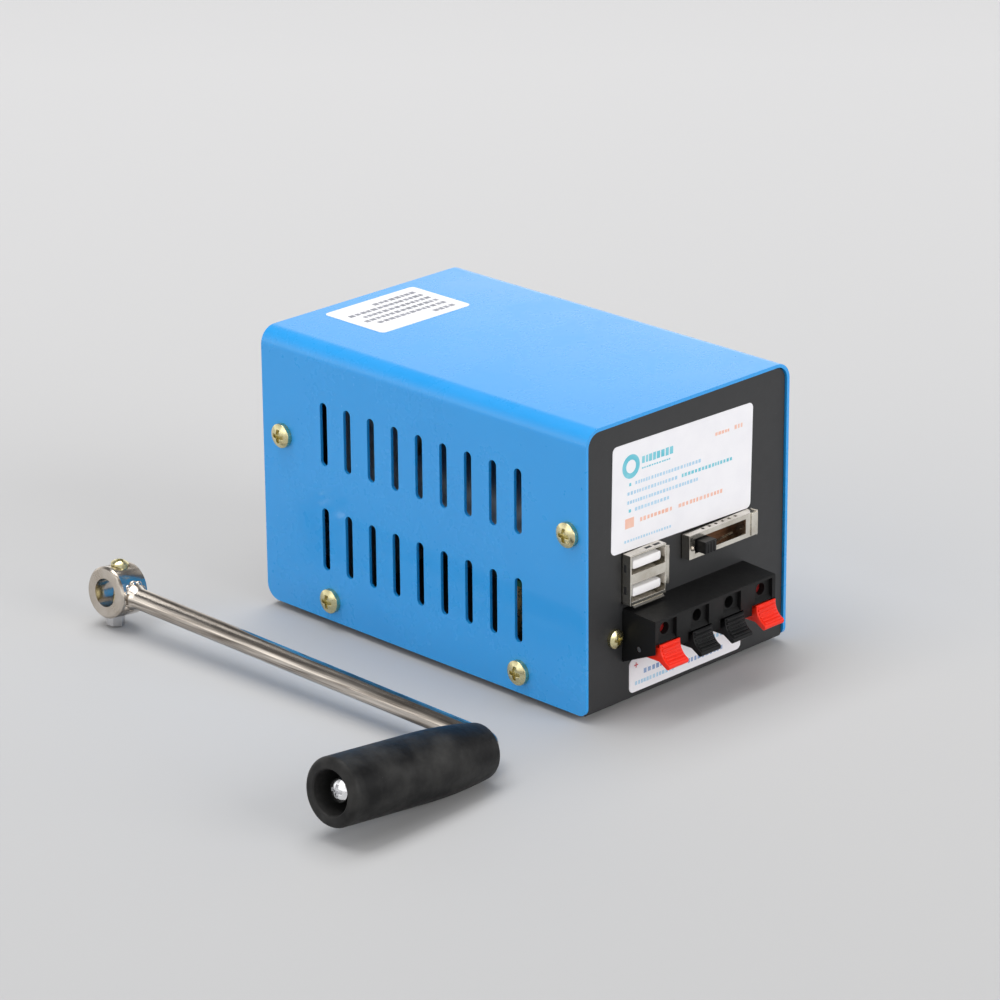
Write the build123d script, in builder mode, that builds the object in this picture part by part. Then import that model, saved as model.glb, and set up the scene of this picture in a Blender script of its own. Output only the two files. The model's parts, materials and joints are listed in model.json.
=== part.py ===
"""Hand crank generator: a sheet-metal box with a gearbox and generator inside, its crank laid beside it.

Millimetres, +Z up.  The origin is the middle of the four feet's ground plane.  The output panel faces -Y,
the crank shaft leaves the opposite end along +Y, and the crank lies on the ground on the -X side.
"""

from build123d import *
from math import acos, asin, cos, degrees, pi, radians, sin, sqrt, tan
import os

# --- box ---------------------------------------------------------------------------------------
cover_width = 80.0
cover_length = 125.0
cover_height = 80.5
cover_clearance = 2.0  # lower edge of the cover above the ground
sheet = 1.0
cover_bend = 5.0  # outside radius of the two long bends
side_rear_corner = 4.5
side_front_corner = 2.5
cover_gap = 0.3  # between the cover and the chassis inside it
panel_recess = 0.6  # end panels stand back from the cover's edges
foot_height = 1.6
foot_diameter = 10.0
foot_inset = 10.0
chassis_bend = 1.5
side_flange_height = 13.0
corner_tab_depth = 12.0
corner_tab_height = 14.0

# --- ventilation slots ----------------------------------------------------------------------------
slot_count = 9
slot_pitch = 9.4
slot_width = 2.8
slot_length = 18.5
slot_rows_height = 41.5  # mid height between the two rows
slot_row_spacing = 31.1

# --- cover screws ---------------------------------------------------------------------------------
cover_screw_head = 7.0
cover_screw_head_height = 2.4
cover_screw_shank = 3.4
cover_screw_length = 7.0
cover_screw_centre = -1.0  # the screw pattern sits this far off the middle of the box
upper_screw_span = 110.6
upper_screw_height = 52.8
lower_screw_span = 73.8
lower_screw_height = 8.2
thread_clearance = 0.05
hole_clearance = 0.2

# --- small machine screws ---------------------------------------------------------------------------
m3_head = 5.3
m3_head_height = 1.9
m3_shank = 2.9
m3_nut_flats = 5.5
m3_nut_height = 2.4

# --- labels ---------------------------------------------------------------------------------------
label_thickness = 0.15
top_label_size = (34.6, 24.0)
top_label_place = (-2.9, 46.0)
panel_label_size = (55.0, 30.2)
panel_label_place = (-2.1, 59.6)
panel_label_turn = -1.2
terminal_label_size = (44.5, 9.6)
terminal_label_place = (-0.5, 8.3)
label_corner = 1.6

# --- stacked USB socket ---------------------------------------------------------------------------
usb_width = 13.9
usb_height = 14.2
usb_depth = 17.0
usb_reach = 3.1  # in front of the panel
usb_x = -18.6
usb_wall = 0.5
usb_port_height = 4.9
usb_port_depth = 13.0
usb_tongue_width = 10.8
usb_tongue_thickness = 1.9
usb_tongue_rise = 1.3  # tongue above the floor of its port
usb_tongue_setback = 0.6
usb_lower_rise = 1.0  # floor of the lower port above the bottom of the shell
usb_contact_pitch = 2.2
usb_contact_width = 1.0
usb_contact_thickness = 0.25
usb_contact_count = 4
usb_contact_setback = 1.0  # behind the front of the tongue

# --- sliding voltage adjuster ---------------------------------------------------------------------
adjuster_length = 26.8
adjuster_height = 6.9
adjuster_reach = 3.0
adjuster_depth = 8.0
adjuster_x = 11.0
adjuster_z = 40.4
adjuster_wall = 0.6
adjuster_window_length = 20.4
adjuster_window_height = 4.2
adjuster_window_x = 10.0
adjuster_notch_count = 6
adjuster_notch_pitch = 2.6
adjuster_notch_width = 0.9
adjuster_base_thickness = 1.2
knob_width = 4.4
knob_height = 3.4
knob_reach = 3.4  # beyond the adjuster's face
knob_start = 2.8  # middle of the knob from the left end of the window
knob_edge = 0.4
carriage_length = 5.2
carriage_height = 5.0
carriage_depth = 3.2
carriage_gap = 0.4
wiper_thickness = 0.3
wiper_root = 2.0
wiper_tip = 1.2
wiper_gap = 0.3
adjuster_pin_size = 0.8
adjuster_pin_pitch = 8.0

# --- spring terminal block ------------------------------------------------------------------------
terminal_pitch = 12.73
terminal_count = 4
terminal_end = 4.805  # from the middle of the end terminals to the ends of the block
terminal_length = (terminal_count - 1) * terminal_pitch + 2 * terminal_end
terminal_x = -1.3
terminal_reach = 11.8
terminal_bottom = 13.6
terminal_top = 29.0
terminal_front_bottom = 18.9
terminal_front_top = 28.3
terminal_rear_depth = 9.0
terminal_rear_bottom = 14.2
terminal_rear_top = 28.0
bay_width = 9.2
bay_ceiling = 21.6
bay_back = 2.6
wire_hole = 3.4
wire_hole_height = 25.0
wire_pocket_width = 7.1
wire_pocket_top = 27.6
wire_pocket_depth = 1.2
wire_pocket_overlap = 0.1  # into the bay below
chamber_width = 8.4
chamber_wall = 1.2
spring_strip = 0.4
spring_strip_width = 5.0
spring_bend = 1.2
spring_tail = 1.6  # behind the block, down to the circuit board
spring_gap = 0.3
bracket_thickness = 1.0
bracket_border = 4.5  # beyond the screws
bracket_rim = 1.8  # above and below the block
bracket_corner = 2.0
bracket_screw_reach = 3.3  # from the ends of the block to the screws
bracket_screw_span = terminal_length + 2 * bracket_screw_reach
bracket_screw_height = 21.4

# --- terminal levers ------------------------------------------------------------------------------
lever_width = 7.8
lever_pivot = (5.8, 18.8)  # distance in front of the panel, height
lever_barrel = 1.9
pivot_rod = 1.5
pivot_clearance = 0.05
pivot_rod_setback = 0.2  # inside the ends of the block
lever_edge = (12.9, 21.7)
lever_hollow = (13.5, 18.7)
lever_tip = (15.7, 16.8)
lever_lip = (15.1, 15.3)
lever_nose = (15.9, 15.7)  # roundest point of the tip
lever_back_gap = 0.5

# --- gearbox --------------------------------------------------------------------------------------
shaft_diameter = 8.0  # the free end that carries the crank
journal_diameter = 10.0  # the shaft inside the gearbox
shaft_height = 44.0
shaft_reach = 18.5  # beyond the rear panel
hub_seat_gap = 3.0  # from the rear panel to the shoulder that the crank hub stops against
gear_module = 1.0
pressure_angle = 20.0
gear_backlash = 0.2
wheel_teeth_height = (0.7, 1.25)  # above and below the pitch circle: short tips clear the pinions' roots
pinion_teeth_height = (1.0, 1.0)
flank_steps = 3
root_step = 0.05
drive_teeth = 40
idler_teeth = 36
pinion_teeth = 12
idler_bearing = -130.8  # direction from the shaft to the idler, degrees
rotor_bearing = 10.0  # direction from the idler to the rotor
plate_thickness = 2.0
plate_width = 66.0
plate_height = 59.0
plate_x = -3.0
plate_z = 40.5
plate_spacing = 22.0
plate_corner = 4.0
pillar_inset = 5.0
pillar_diameter = 7.0
pillar_screw_depth = 7.0
pillar_screw_gap = 2.0  # from the screw's end to the end of its hole
bush_diameter = 13.5
bush_flange = 16.5
bush_flange_thickness = 1.2
front_bush_setback = 0.2  # inside the front plate's outer face
rear_bush_stand = 0.6  # beyond the rear panel
shaft_setback = 0.6  # inside the front plate's outer face
shaft_chamfer = 0.6
running_clearance = 0.03
fit_clearance = 0.02
axial_gap = 0.3
drive_face = 6.0
drive_hub = 17.0
drive_hub_length = 5.0
gear_pin_diameter = 2.0
gear_pin_setback = 0.3  # inside the hub at each end
spacer_diameter = 12.5
spacer_length = 8.0
idler_face = 5.0
idler_rim_setback = 2.4  # behind the front end of the boss
idler_pinion_face = 8.0
idler_pin_diameter = 5.0
idler_boss = 9.0
rotor_pinion_overlap = 0.7  # beyond each face of the idler wheel

# --- generator ------------------------------------------------------------------------------------
can_diameter = 38.0
can_wall = 1.2
can_length = 48.0
cap_thickness = 3.0
magnet_thickness = 4.6
magnet_length = 30.0
magnet_half_angle = 65.0
magnet_setback = 10.0  # behind the cap
rotor_gap = 0.5
core_length = 26.0
core_poles = 5
core_arm = 4.0
core_hub_radius = 5.0
core_rim = 2.4
core_slot = 2.6
winding_gap = 0.15
winding_thickness = 1.6
generator_shaft = 4.0
generator_bearing = 10.0
generator_bearing_length = 6.0
rotor_shaft_setback = 0.5  # inside the cap's outer face
generator_screw_span = 25.0
generator_screw_turn = -20.0
commutator_diameter = 10.0
commutator_length = 7.0
commutator_gap = 1.0
brush_width = 3.0
brush_length = 5.0
brush_gap = 0.1
lead_diameter = 1.6
lead_bend = 5.0
lead_spacing = 10.0
lead_rise = 9.5

# --- circuit board --------------------------------------------------------------------------------
board_margin = 9.1  # beyond the ends of the terminal block
board_width = terminal_length + 2 * board_margin
board_length = 36.0
board_thickness = 1.6
board_setback = 2.9  # behind the output panel's outer face
board_height = 28.5  # upper face above the cover's lower edge
board_hole_inset = 4.0
standoff_flats = 5.5
standoff_spigot = 4.2
standoff_bore = 8.0
board_screw_gap = 2.0  # from the screw's end to the end of its hole
capacitor_diameter = 13.0
capacitor_height = 21.0
capacitor_edge = 0.6
capacitor_place = (-20.0, 25.0)  # across the board, behind its front edge
choke_diameter = 12.0
choke_height = 14.0
choke_flange = 2.0
choke_place = (22.0, 22.0)
regulator_size = (10.2, 4.6, 16.0)
regulator_body_height = 9.5
regulator_tab = 1.3
regulator_hole = 3.6
regulator_hole_drop = 3.0
regulator_place = (8.0, 18.0)

# --- crank ----------------------------------------------------------------------------------------
hub_diameter = 14.8
hub_length = 9.8
hub_chamfer = 0.6
hub_bore_clearance = 0.05
arm_diameter = 6.0
arm_length = 146.5
arm_bend = 6.5
weld_radius = 4.2
weld_length = 3.5
crank_bolt_head = 5.0
crank_bolt_head_height = 2.2
crank_bolt_shank = 2.4
crank_nut_flats = 4.6
crank_nut_height = 2.7
crank_x = -79.8
crank_y = 81.0
crank_yaw = 1.5  # the crank's arm swings this far from square to the panel, degrees
crank_roll = 6.8  # the crank leans on the ground about its arm, degrees
spot_face_diameter = 5.8
spot_face_depth = 0.07  # below the highest full circle that the bolt's head covers

# --- grip -----------------------------------------------------------------------------------------
grip_inner = 6.1  # from the arm's axis to the near end of the grip
grip_length = 55.4
grip_radius = 9.2
grip_neck_radius = 7.3
grip_taper_length = 24.0
grip_rim = 1.6
grip_neck_rim = 2.0
grip_recess_diameter = 11.8
grip_recess_depth = 9.0
grip_recess_edge = 0.4
grip_boss_diameter = 6.4  # in the middle of the recess, under the screw's head
grip_boss_height = 4.4
grip_bore_clearance = 0.1
grip_screw_head = 6.2
grip_screw_head_height = 2.2
grip_screw_shank = 2.4
grip_screw_length = 8.0
grip_screw_gap = 0.5  # from the screw's end to the end of its hole
grip_end_play = 0.2
spindle_neck = 4.2  # the end of the arm, turned down where it passes through the boss
spindle_neck_length = 6.8

# --- places worked out from the sizes above ---------------------------------------------------------
cover_top = cover_clearance + cover_height
chassis_width = cover_width - 2 * sheet - 2 * cover_gap
chassis_length = cover_length - 2 * panel_recess
chassis_top = cover_top - sheet - cover_gap
chassis_floor = foot_height + sheet  # upper face of the floor
panel_face = -chassis_length / 2
panel_back = panel_face + sheet
rear_face = chassis_length / 2
rear_inside = rear_face - sheet

rear_plate_front = rear_inside - plate_thickness
front_plate_back = rear_plate_front - plate_spacing
front_plate_front = front_plate_back - plate_thickness
drive_distance = gear_module * (drive_teeth + pinion_teeth) / 2
rotor_distance = gear_module * (idler_teeth + pinion_teeth) / 2
shaft_place = (0.0, shaft_height)
idler_place = (
    shaft_place[0] + drive_distance * cos(radians(idler_bearing)),
    shaft_place[1] + drive_distance * sin(radians(idler_bearing)),
)
rotor_place = (
    idler_place[0] + rotor_distance * cos(radians(rotor_bearing)),
    idler_place[1] + rotor_distance * sin(radians(rotor_bearing)),
)
plate_left = plate_x - plate_width / 2
plate_right = plate_x + plate_width / 2
plate_low = plate_z - plate_height / 2
plate_high = plate_z + plate_height / 2
pillar_places = [
    (plate_left + pillar_inset, plate_high - pillar_inset),
    (plate_right - pillar_inset, plate_high - pillar_inset),
    (plate_right - pillar_inset, plate_low + pillar_inset),
]

# stations along the crank shaft, from the front plate to the rear plate
front_bush_face = front_plate_back + bush_flange_thickness
rear_bush_face = rear_plate_front - bush_flange_thickness
spacer_front = front_bush_face + axial_gap
drive_front = spacer_front + spacer_length
drive_rim_back = drive_front + drive_face
drive_back = drive_rim_back + drive_hub_length
idler_front = front_plate_back + axial_gap
idler_rim_front = idler_front + idler_rim_setback
idler_rim_back = idler_rim_front + idler_face
idler_pinion_front = drive_front - (idler_pinion_face - drive_face) / 2
idler_back = rear_plate_front - axial_gap
rotor_pinion_front = idler_rim_front - rotor_pinion_overlap
rotor_pinion_back = idler_rim_back + rotor_pinion_overlap
shaft_front = front_plate_front + shaft_setback
shoulder = rear_face + hub_seat_gap
shaft_end = rear_face + shaft_reach
cross_hole_station = shoulder + hub_length / 2

can_back = front_plate_front
can_front = can_back - can_length
cap_front = can_front - cap_thickness
magnet_radius = can_diameter / 2 - can_wall - fit_clearance
core_radius = magnet_radius - magnet_thickness - rotor_gap
magnet_front = can_front + magnet_setback
core_front = magnet_front + (magnet_length - core_length) / 2
commutator_front = core_front - commutator_length - commutator_gap

board_top = cover_clearance + board_height
board_bottom = board_top - board_thickness
board_front = panel_face + board_setback
board_rear = board_front + board_length
usb_bottom = board_top
usb_front = panel_face - usb_reach
usb_port_floors = [usb_bottom + usb_lower_rise, usb_bottom + usb_height - usb_wall - usb_port_height]
adjuster_front = panel_face - adjuster_reach
adjuster_back = adjuster_front + adjuster_depth

# crank: the nut under the hub and the belly of the grip both rest on the ground
roll = radians(crank_roll)
bolt_reach = hub_diameter / 2 + crank_nut_height
nut_corner = crank_nut_flats / sqrt(3)
crank_height = bolt_reach * cos(roll) + nut_corner * sin(roll)
taper_drop = grip_radius - grip_neck_radius
taper_radius = (grip_taper_length**2 + taper_drop**2) / (2 * taper_drop)
belly_station = grip_inner + grip_taper_length - taper_radius * sin(roll)
belly_radius = grip_radius - taper_radius * (1 - cos(roll))
elbow_height = belly_radius * cos(roll) - belly_station * sin(roll)
crank_pitch = degrees(asin((crank_height - elbow_height) / arm_length))
crank_frame = Plane(
    Location((crank_x, crank_y, crank_height))
    * Rotation(0, 0, crank_yaw)
    * Rotation(crank_pitch, 0, 0)
    * Rotation(0, crank_roll, 0)
)


def finish(builder, name):
    """Label a finished piece and write it to its own file."""
    builder.part.label = name
    export_step(builder.part, f"parts/{name}.step")


def end_plane(y):
    """Upright plane across the box at y: its first axis is +X, its second +Z, and it faces -Y."""
    return Plane.XZ.offset(-y)


def block(x_range, y_range, z_range, mode=Mode.ADD):
    """Add or cut a plain block given by its two limits along each axis."""
    size = [high - low for low, high in (x_range, y_range, z_range)]
    middle = [(high + low) / 2 for low, high in (x_range, y_range, z_range)]
    with Locations(Location(middle)):
        Box(*size, mode=mode)


def disc(plane, place, diameter, depth, mode=Mode.ADD):
    """Add or cut a round bar of the given depth behind a plane that faces -Y."""
    with BuildSketch(plane) as section:
        with Locations(place):
            Circle(diameter / 2)
    extrude(section.sketch, amount=-depth, mode=mode)


def cross_head_screw(head, head_height, shank, length):
    """A domed screw with a cross recess: its head sits on z = 0 and its shank points down."""
    crown = head_height * 0.45
    dome_radius = ((head / 2) ** 2 + crown**2) / (2 * crown)
    mid_dome = (head / 4, head_height - dome_radius + sqrt(dome_radius**2 - (head / 4) ** 2))
    recess_width = head * 0.16
    recess_length = head * 0.55
    recess_depth = head_height * 0.6
    with BuildPart() as screw:
        with BuildSketch(Plane.XZ):
            with BuildLine():
                Polyline((0, head_height), (0, -length), (shank / 2, -length), (shank / 2, 0))
                Line((shank / 2, 0), (head / 2, 0))
                Line((head / 2, 0), (head / 2, head_height - crown))
                ThreePointArc((head / 2, head_height - crown), mid_dome, (0, head_height))
            make_face()
        revolve(axis=Axis.Z)
        with BuildSketch(Plane.XY.offset(head_height)):
            Rectangle(recess_length, recess_width)
            Rectangle(recess_width, recess_length)
        extrude(amount=-recess_depth, mode=Mode.SUBTRACT)
    return screw.part


def group(part, places):
    """Repeat one finished solid at each place as a group of separate solids."""
    with BuildPart() as built:
        with Locations(*places):
            add(part)
    return built


def facing(place, direction):
    """Place that turns +Z towards the given direction."""
    return Plane(origin=place, z_dir=direction).location


# --- housing ----------------------------------------------------------------------------------------
def cover_screw_places():
    """Y, Z of the four screws in each side of the cover."""
    rows = ((upper_screw_span, upper_screw_height), (lower_screw_span, lower_screw_height))
    return [(cover_screw_centre + side * span / 2, z) for span, z in rows for side in (-1, 1)]


def build_cover():
    """The bent sheet cover: a top and two slotted sides, open below and at both ends."""
    middle = cover_clearance + cover_height / 2
    with BuildPart() as cover:
        with BuildSketch(Plane.XZ) as wall:
            with Locations((0, middle)):
                Rectangle(cover_width, cover_height)
            fillet(wall.vertices().group_by(Axis.Y)[-1], cover_bend)
            with BuildSketch(Plane.XZ, mode=Mode.SUBTRACT) as inside:
                with Locations((0, middle - sheet)):
                    Rectangle(cover_width - 2 * sheet, cover_height)
                fillet(inside.vertices().group_by(Axis.Y)[-1], cover_bend - sheet)
        extrude(amount=cover_length / 2, both=True)
        lower_edges = cover.edges().filter_by(Axis.X).group_by(Axis.Z)[0]
        fillet(lower_edges.group_by(Axis.Y)[-1], side_rear_corner)
        lower_edges = cover.edges().filter_by(Axis.X).group_by(Axis.Z)[0]
        fillet(lower_edges.group_by(Axis.Y)[0], side_front_corner)
        with BuildSketch(Plane.YZ):
            with Locations((0, slot_rows_height)):
                with GridLocations(slot_pitch, slot_row_spacing, slot_count, 2):
                    SlotOverall(slot_length, slot_width, rotation=90)
            with Locations(*cover_screw_places()):
                Circle(cover_screw_shank / 2 + hole_clearance)
        extrude(amount=cover_width, both=True, mode=Mode.SUBTRACT)
    finish(cover, "cover")


def build_chassis():
    """The tray inside the cover: a floor, two end panels, low side flanges and four screw tabs."""
    half_width = chassis_width / 2
    half_length = chassis_length / 2
    with BuildPart() as chassis:
        with BuildSketch(Plane.YZ) as profile:
            with BuildLine():
                Polyline(
                    (-half_length, chassis_top),
                    (-half_length, foot_height),
                    (half_length, foot_height),
                    (half_length, chassis_top),
                    (half_length - sheet, chassis_top),
                    (half_length - sheet, chassis_floor),
                    (sheet - half_length, chassis_floor),
                    (sheet - half_length, chassis_top),
                    close=True,
                )
            make_face()
            fillet(profile.vertices().group_by(Axis.Y)[0], chassis_bend)
        extrude(amount=half_width, both=True)
        upright_corners = chassis.edges().filter_by(Axis.Y).group_by(Axis.Z)[-1]
        fillet(upright_corners, cover_bend - sheet - cover_gap)
        for side in (-1, 1):
            outer = side * half_width
            x_range = sorted((outer, outer - side * sheet))
            flange_end = half_length - chassis_bend - sheet
            block(x_range, (-flange_end, flange_end), (foot_height, chassis_floor + side_flange_height))
            tab_z = (upper_screw_height - corner_tab_height / 2, upper_screw_height + corner_tab_height / 2)
            block(x_range, (-half_length, corner_tab_depth - half_length), tab_z)
            block(x_range, (half_length - corner_tab_depth, half_length), tab_z)
        with BuildSketch(Plane.YZ):
            with Locations(*cover_screw_places()):
                Circle(cover_screw_shank / 2 + thread_clearance)
        extrude(amount=cover_width, both=True, mode=Mode.SUBTRACT)
        with BuildSketch(end_plane(panel_face)):
            with Locations((usb_x, usb_bottom + usb_height / 2)):
                Rectangle(usb_width + 2 * hole_clearance, usb_height + 2 * hole_clearance)
            with Locations((adjuster_x, adjuster_z)):
                Rectangle(adjuster_length + 2 * hole_clearance, adjuster_height + 2 * hole_clearance)
            with Locations((terminal_x, (terminal_rear_bottom + terminal_rear_top) / 2)):
                Rectangle(
                    terminal_length + 2 * hole_clearance,
                    terminal_rear_top - terminal_rear_bottom + 2 * hole_clearance,
                )
            with Locations(*bracket_screw_places()):
                Circle(m3_shank / 2 + hole_clearance)
        extrude(amount=-sheet, mode=Mode.SUBTRACT)
        disc(end_plane(rear_inside), shaft_place, bush_diameter + 2 * fit_clearance, sheet, Mode.SUBTRACT)
        for place in pillar_places:
            disc(end_plane(rear_inside), place, m3_shank + 2 * hole_clearance, sheet, Mode.SUBTRACT)
        with BuildSketch(Plane.XY.offset(chassis_floor)):
            with Locations(*board_hole_places()):
                Circle(standoff_spigot / 2 + fit_clearance)
        extrude(amount=-sheet, mode=Mode.SUBTRACT)
    finish(chassis, "chassis")


def bracket_screw_places():
    """X, Z of the two screws beside the terminal block."""
    return [(terminal_x + side * bracket_screw_span / 2, bracket_screw_height) for side in (-1, 1)]


def board_hole_places():
    """X, Y of the four posts that carry the circuit board."""
    x = board_width / 2 - board_hole_inset
    low = board_front + 2 * board_hole_inset
    high = board_rear - board_hole_inset
    return [(side * x, y) for side in (-1, 1) for y in (low, high)]


def build_cover_screws():
    """The eight screws through the cover's sides into the chassis."""
    head = (cover_screw_head, cover_screw_head_height)
    screw = cross_head_screw(*head, cover_screw_shank, cover_screw_length)
    places = []
    for side in (-1, 1):
        places += [facing((side * cover_width / 2, y, z), (side, 0, 0)) for y, z in cover_screw_places()]
    finish(group(screw, places), "cover_screws")


def build_feet():
    """Four rubber feet under the chassis."""
    x = cover_width / 2 - foot_inset
    y = cover_length / 2 - foot_inset
    with BuildPart() as feet:
        with BuildSketch():
            with GridLocations(2 * x, 2 * y, 2, 2):
                Circle(foot_diameter / 2)
        extrude(amount=foot_height)
        fillet(feet.edges().group_by(Axis.Z)[0], foot_height / 4)
    finish(feet, "feet")


def build_labels():
    """Three printed labels: on the top, and above and below the sockets on the output panel."""
    with BuildPart() as top_label:
        with BuildSketch(Plane.XY.offset(cover_top)):
            with Locations(top_label_place):
                RectangleRounded(*top_label_size, label_corner)
        extrude(amount=label_thickness)
    finish(top_label, "top_label")
    with BuildPart() as panel_label:
        with BuildSketch(end_plane(panel_face)):
            with Locations(panel_label_place):
                RectangleRounded(*panel_label_size, label_corner, rotation=panel_label_turn)
        extrude(amount=label_thickness)
    finish(panel_label, "panel_label")
    with BuildPart() as terminal_label:
        with BuildSketch(end_plane(panel_face)):
            with Locations(terminal_label_place):
                RectangleRounded(*terminal_label_size, label_corner)
        extrude(amount=label_thickness)
    finish(terminal_label, "terminal_label")


# --- sockets and controls on the output panel ---------------------------------------------------------
def build_usb_socket():
    """The two-port socket: a metal shell, the insulator with its two tongues, and the contacts."""
    left = usb_x - usb_width / 2
    right = usb_x + usb_width / 2
    back = usb_front + usb_depth
    port_back = usb_front + usb_port_depth
    with BuildPart() as usb_shell:
        block((left, right), (usb_front, back), (usb_bottom, usb_bottom + usb_height))
        for floor in usb_port_floors:
            port_z = (floor, floor + usb_port_height)
            block((left + usb_wall, right - usb_wall), (usb_front, port_back), port_z, Mode.SUBTRACT)
        inner_z = (usb_bottom + usb_wall, usb_bottom + usb_height - usb_wall)
        block((left + usb_wall, right - usb_wall), (port_back, back), inner_z, Mode.SUBTRACT)
    finish(usb_shell, "usb_shell")

    tongue_front = usb_front + usb_tongue_setback
    with BuildPart() as usb_insulator:
        block((left + usb_wall, right - usb_wall), (port_back, back), inner_z)
        for floor in usb_port_floors:
            bottom = floor + usb_tongue_rise
            x_range = (usb_x - usb_tongue_width / 2, usb_x + usb_tongue_width / 2)
            block(x_range, (tongue_front, port_back), (bottom, bottom + usb_tongue_thickness))
    finish(usb_insulator, "usb_insulator")

    with BuildPart() as usb_contacts:
        for floor in usb_port_floors:
            top = floor + usb_tongue_rise
            for index in range(usb_contact_count):
                x = usb_x + (index - (usb_contact_count - 1) / 2) * usb_contact_pitch
                x_range = (x - usb_contact_width / 2, x + usb_contact_width / 2)
                contact_front = tongue_front + usb_contact_setback
                block(x_range, (contact_front, port_back), (top - usb_contact_thickness, top))
    finish(usb_contacts, "usb_contacts")


def build_adjuster():
    """The sliding adjuster: frame, base, pins, and the knob with its wiper."""
    left = adjuster_x - adjuster_length / 2
    right = adjuster_x + adjuster_length / 2
    low = adjuster_z - adjuster_height / 2
    high = adjuster_z + adjuster_height / 2
    with BuildPart() as adjuster_frame:
        block((left, right), (adjuster_front, adjuster_back), (low, high))
        inner_x = (left + adjuster_wall, right - adjuster_wall)
        inner_z = (low + adjuster_wall, high - adjuster_wall)
        block(inner_x, (adjuster_front + adjuster_wall, adjuster_back), inner_z, Mode.SUBTRACT)
        with BuildSketch(end_plane(adjuster_front)):
            with Locations((adjuster_window_x, adjuster_z)):
                Rectangle(adjuster_window_length, adjuster_window_height)
        extrude(amount=-adjuster_wall, mode=Mode.SUBTRACT)
        with BuildSketch(Plane.XY.offset(high)):
            with Locations((adjuster_x, (adjuster_front + panel_face) / 2)):
                with GridLocations(adjuster_notch_pitch, 1, adjuster_notch_count, 1):
                    Rectangle(adjuster_notch_width, adjuster_notch_width)
        extrude(amount=-adjuster_wall, mode=Mode.SUBTRACT)
    finish(adjuster_frame, "adjuster_frame")

    base_front = adjuster_back - adjuster_base_thickness
    with BuildPart() as adjuster_base:
        block(inner_x, (base_front, adjuster_back), inner_z)
    finish(adjuster_base, "adjuster_base")

    with BuildPart() as adjuster_pins:
        for index in (-1, 0, 1):
            x = adjuster_x + index * adjuster_pin_pitch
            x_range = (x - adjuster_pin_size / 2, x + adjuster_pin_size / 2)
            block(x_range, (adjuster_back, adjuster_back + adjuster_pin_size), (board_top, adjuster_z))
    finish(adjuster_pins, "adjuster_pins")

    knob_x = adjuster_window_x - adjuster_window_length / 2 + knob_start
    carriage_front = adjuster_front + adjuster_wall + carriage_gap
    carriage_back = carriage_front + carriage_depth
    with BuildPart() as adjuster_knob:
        stem_x = (knob_x - knob_width / 2, knob_x + knob_width / 2)
        stem_z = (adjuster_z - knob_height / 2, adjuster_z + knob_height / 2)
        block(stem_x, (adjuster_front - knob_reach, carriage_back), stem_z)
        fillet(adjuster_knob.edges().group_by(Axis.Y)[0], knob_edge)
        carriage_x = (knob_x - carriage_length / 2, knob_x + carriage_length / 2)
        carriage_z = (adjuster_z - carriage_height / 2, adjuster_z + carriage_height / 2)
        block(carriage_x, (carriage_front, carriage_back), carriage_z)
    finish(adjuster_knob, "adjuster_knob")

    wiper_back = carriage_back + wiper_thickness
    contact = base_front - wiper_gap
    with BuildPart() as adjuster_wiper:
        with BuildSketch(Plane.XY.offset(adjuster_z)):
            with BuildLine():
                Polyline(
                    (knob_x - carriage_length / 2, carriage_back),
                    (knob_x + carriage_length / 2, carriage_back),
                    (knob_x + carriage_length / 2, wiper_back),
                    (knob_x + wiper_root / 2, wiper_back),
                    (knob_x + wiper_tip / 2, contact),
                    (knob_x - wiper_tip / 2, contact),
                    (knob_x - wiper_root / 2, wiper_back),
                    (knob_x - carriage_length / 2, wiper_back),
                    close=True,
                )
            make_face()
        extrude(amount=knob_height / 2, both=True)
    finish(adjuster_wiper, "adjuster_wiper")


def side_plane(x):
    """Plane across the terminal block: its first axis points away from the panel, its second up."""
    return Plane(origin=(x, panel_face, 0), x_dir=(0, -1, 0), z_dir=(-1, 0, 0))


def terminal_places():
    """X of each terminal's middle, from left to right."""
    first = terminal_x - (terminal_count - 1) / 2 * terminal_pitch
    return [first + index * terminal_pitch for index in range(terminal_count)]


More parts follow.
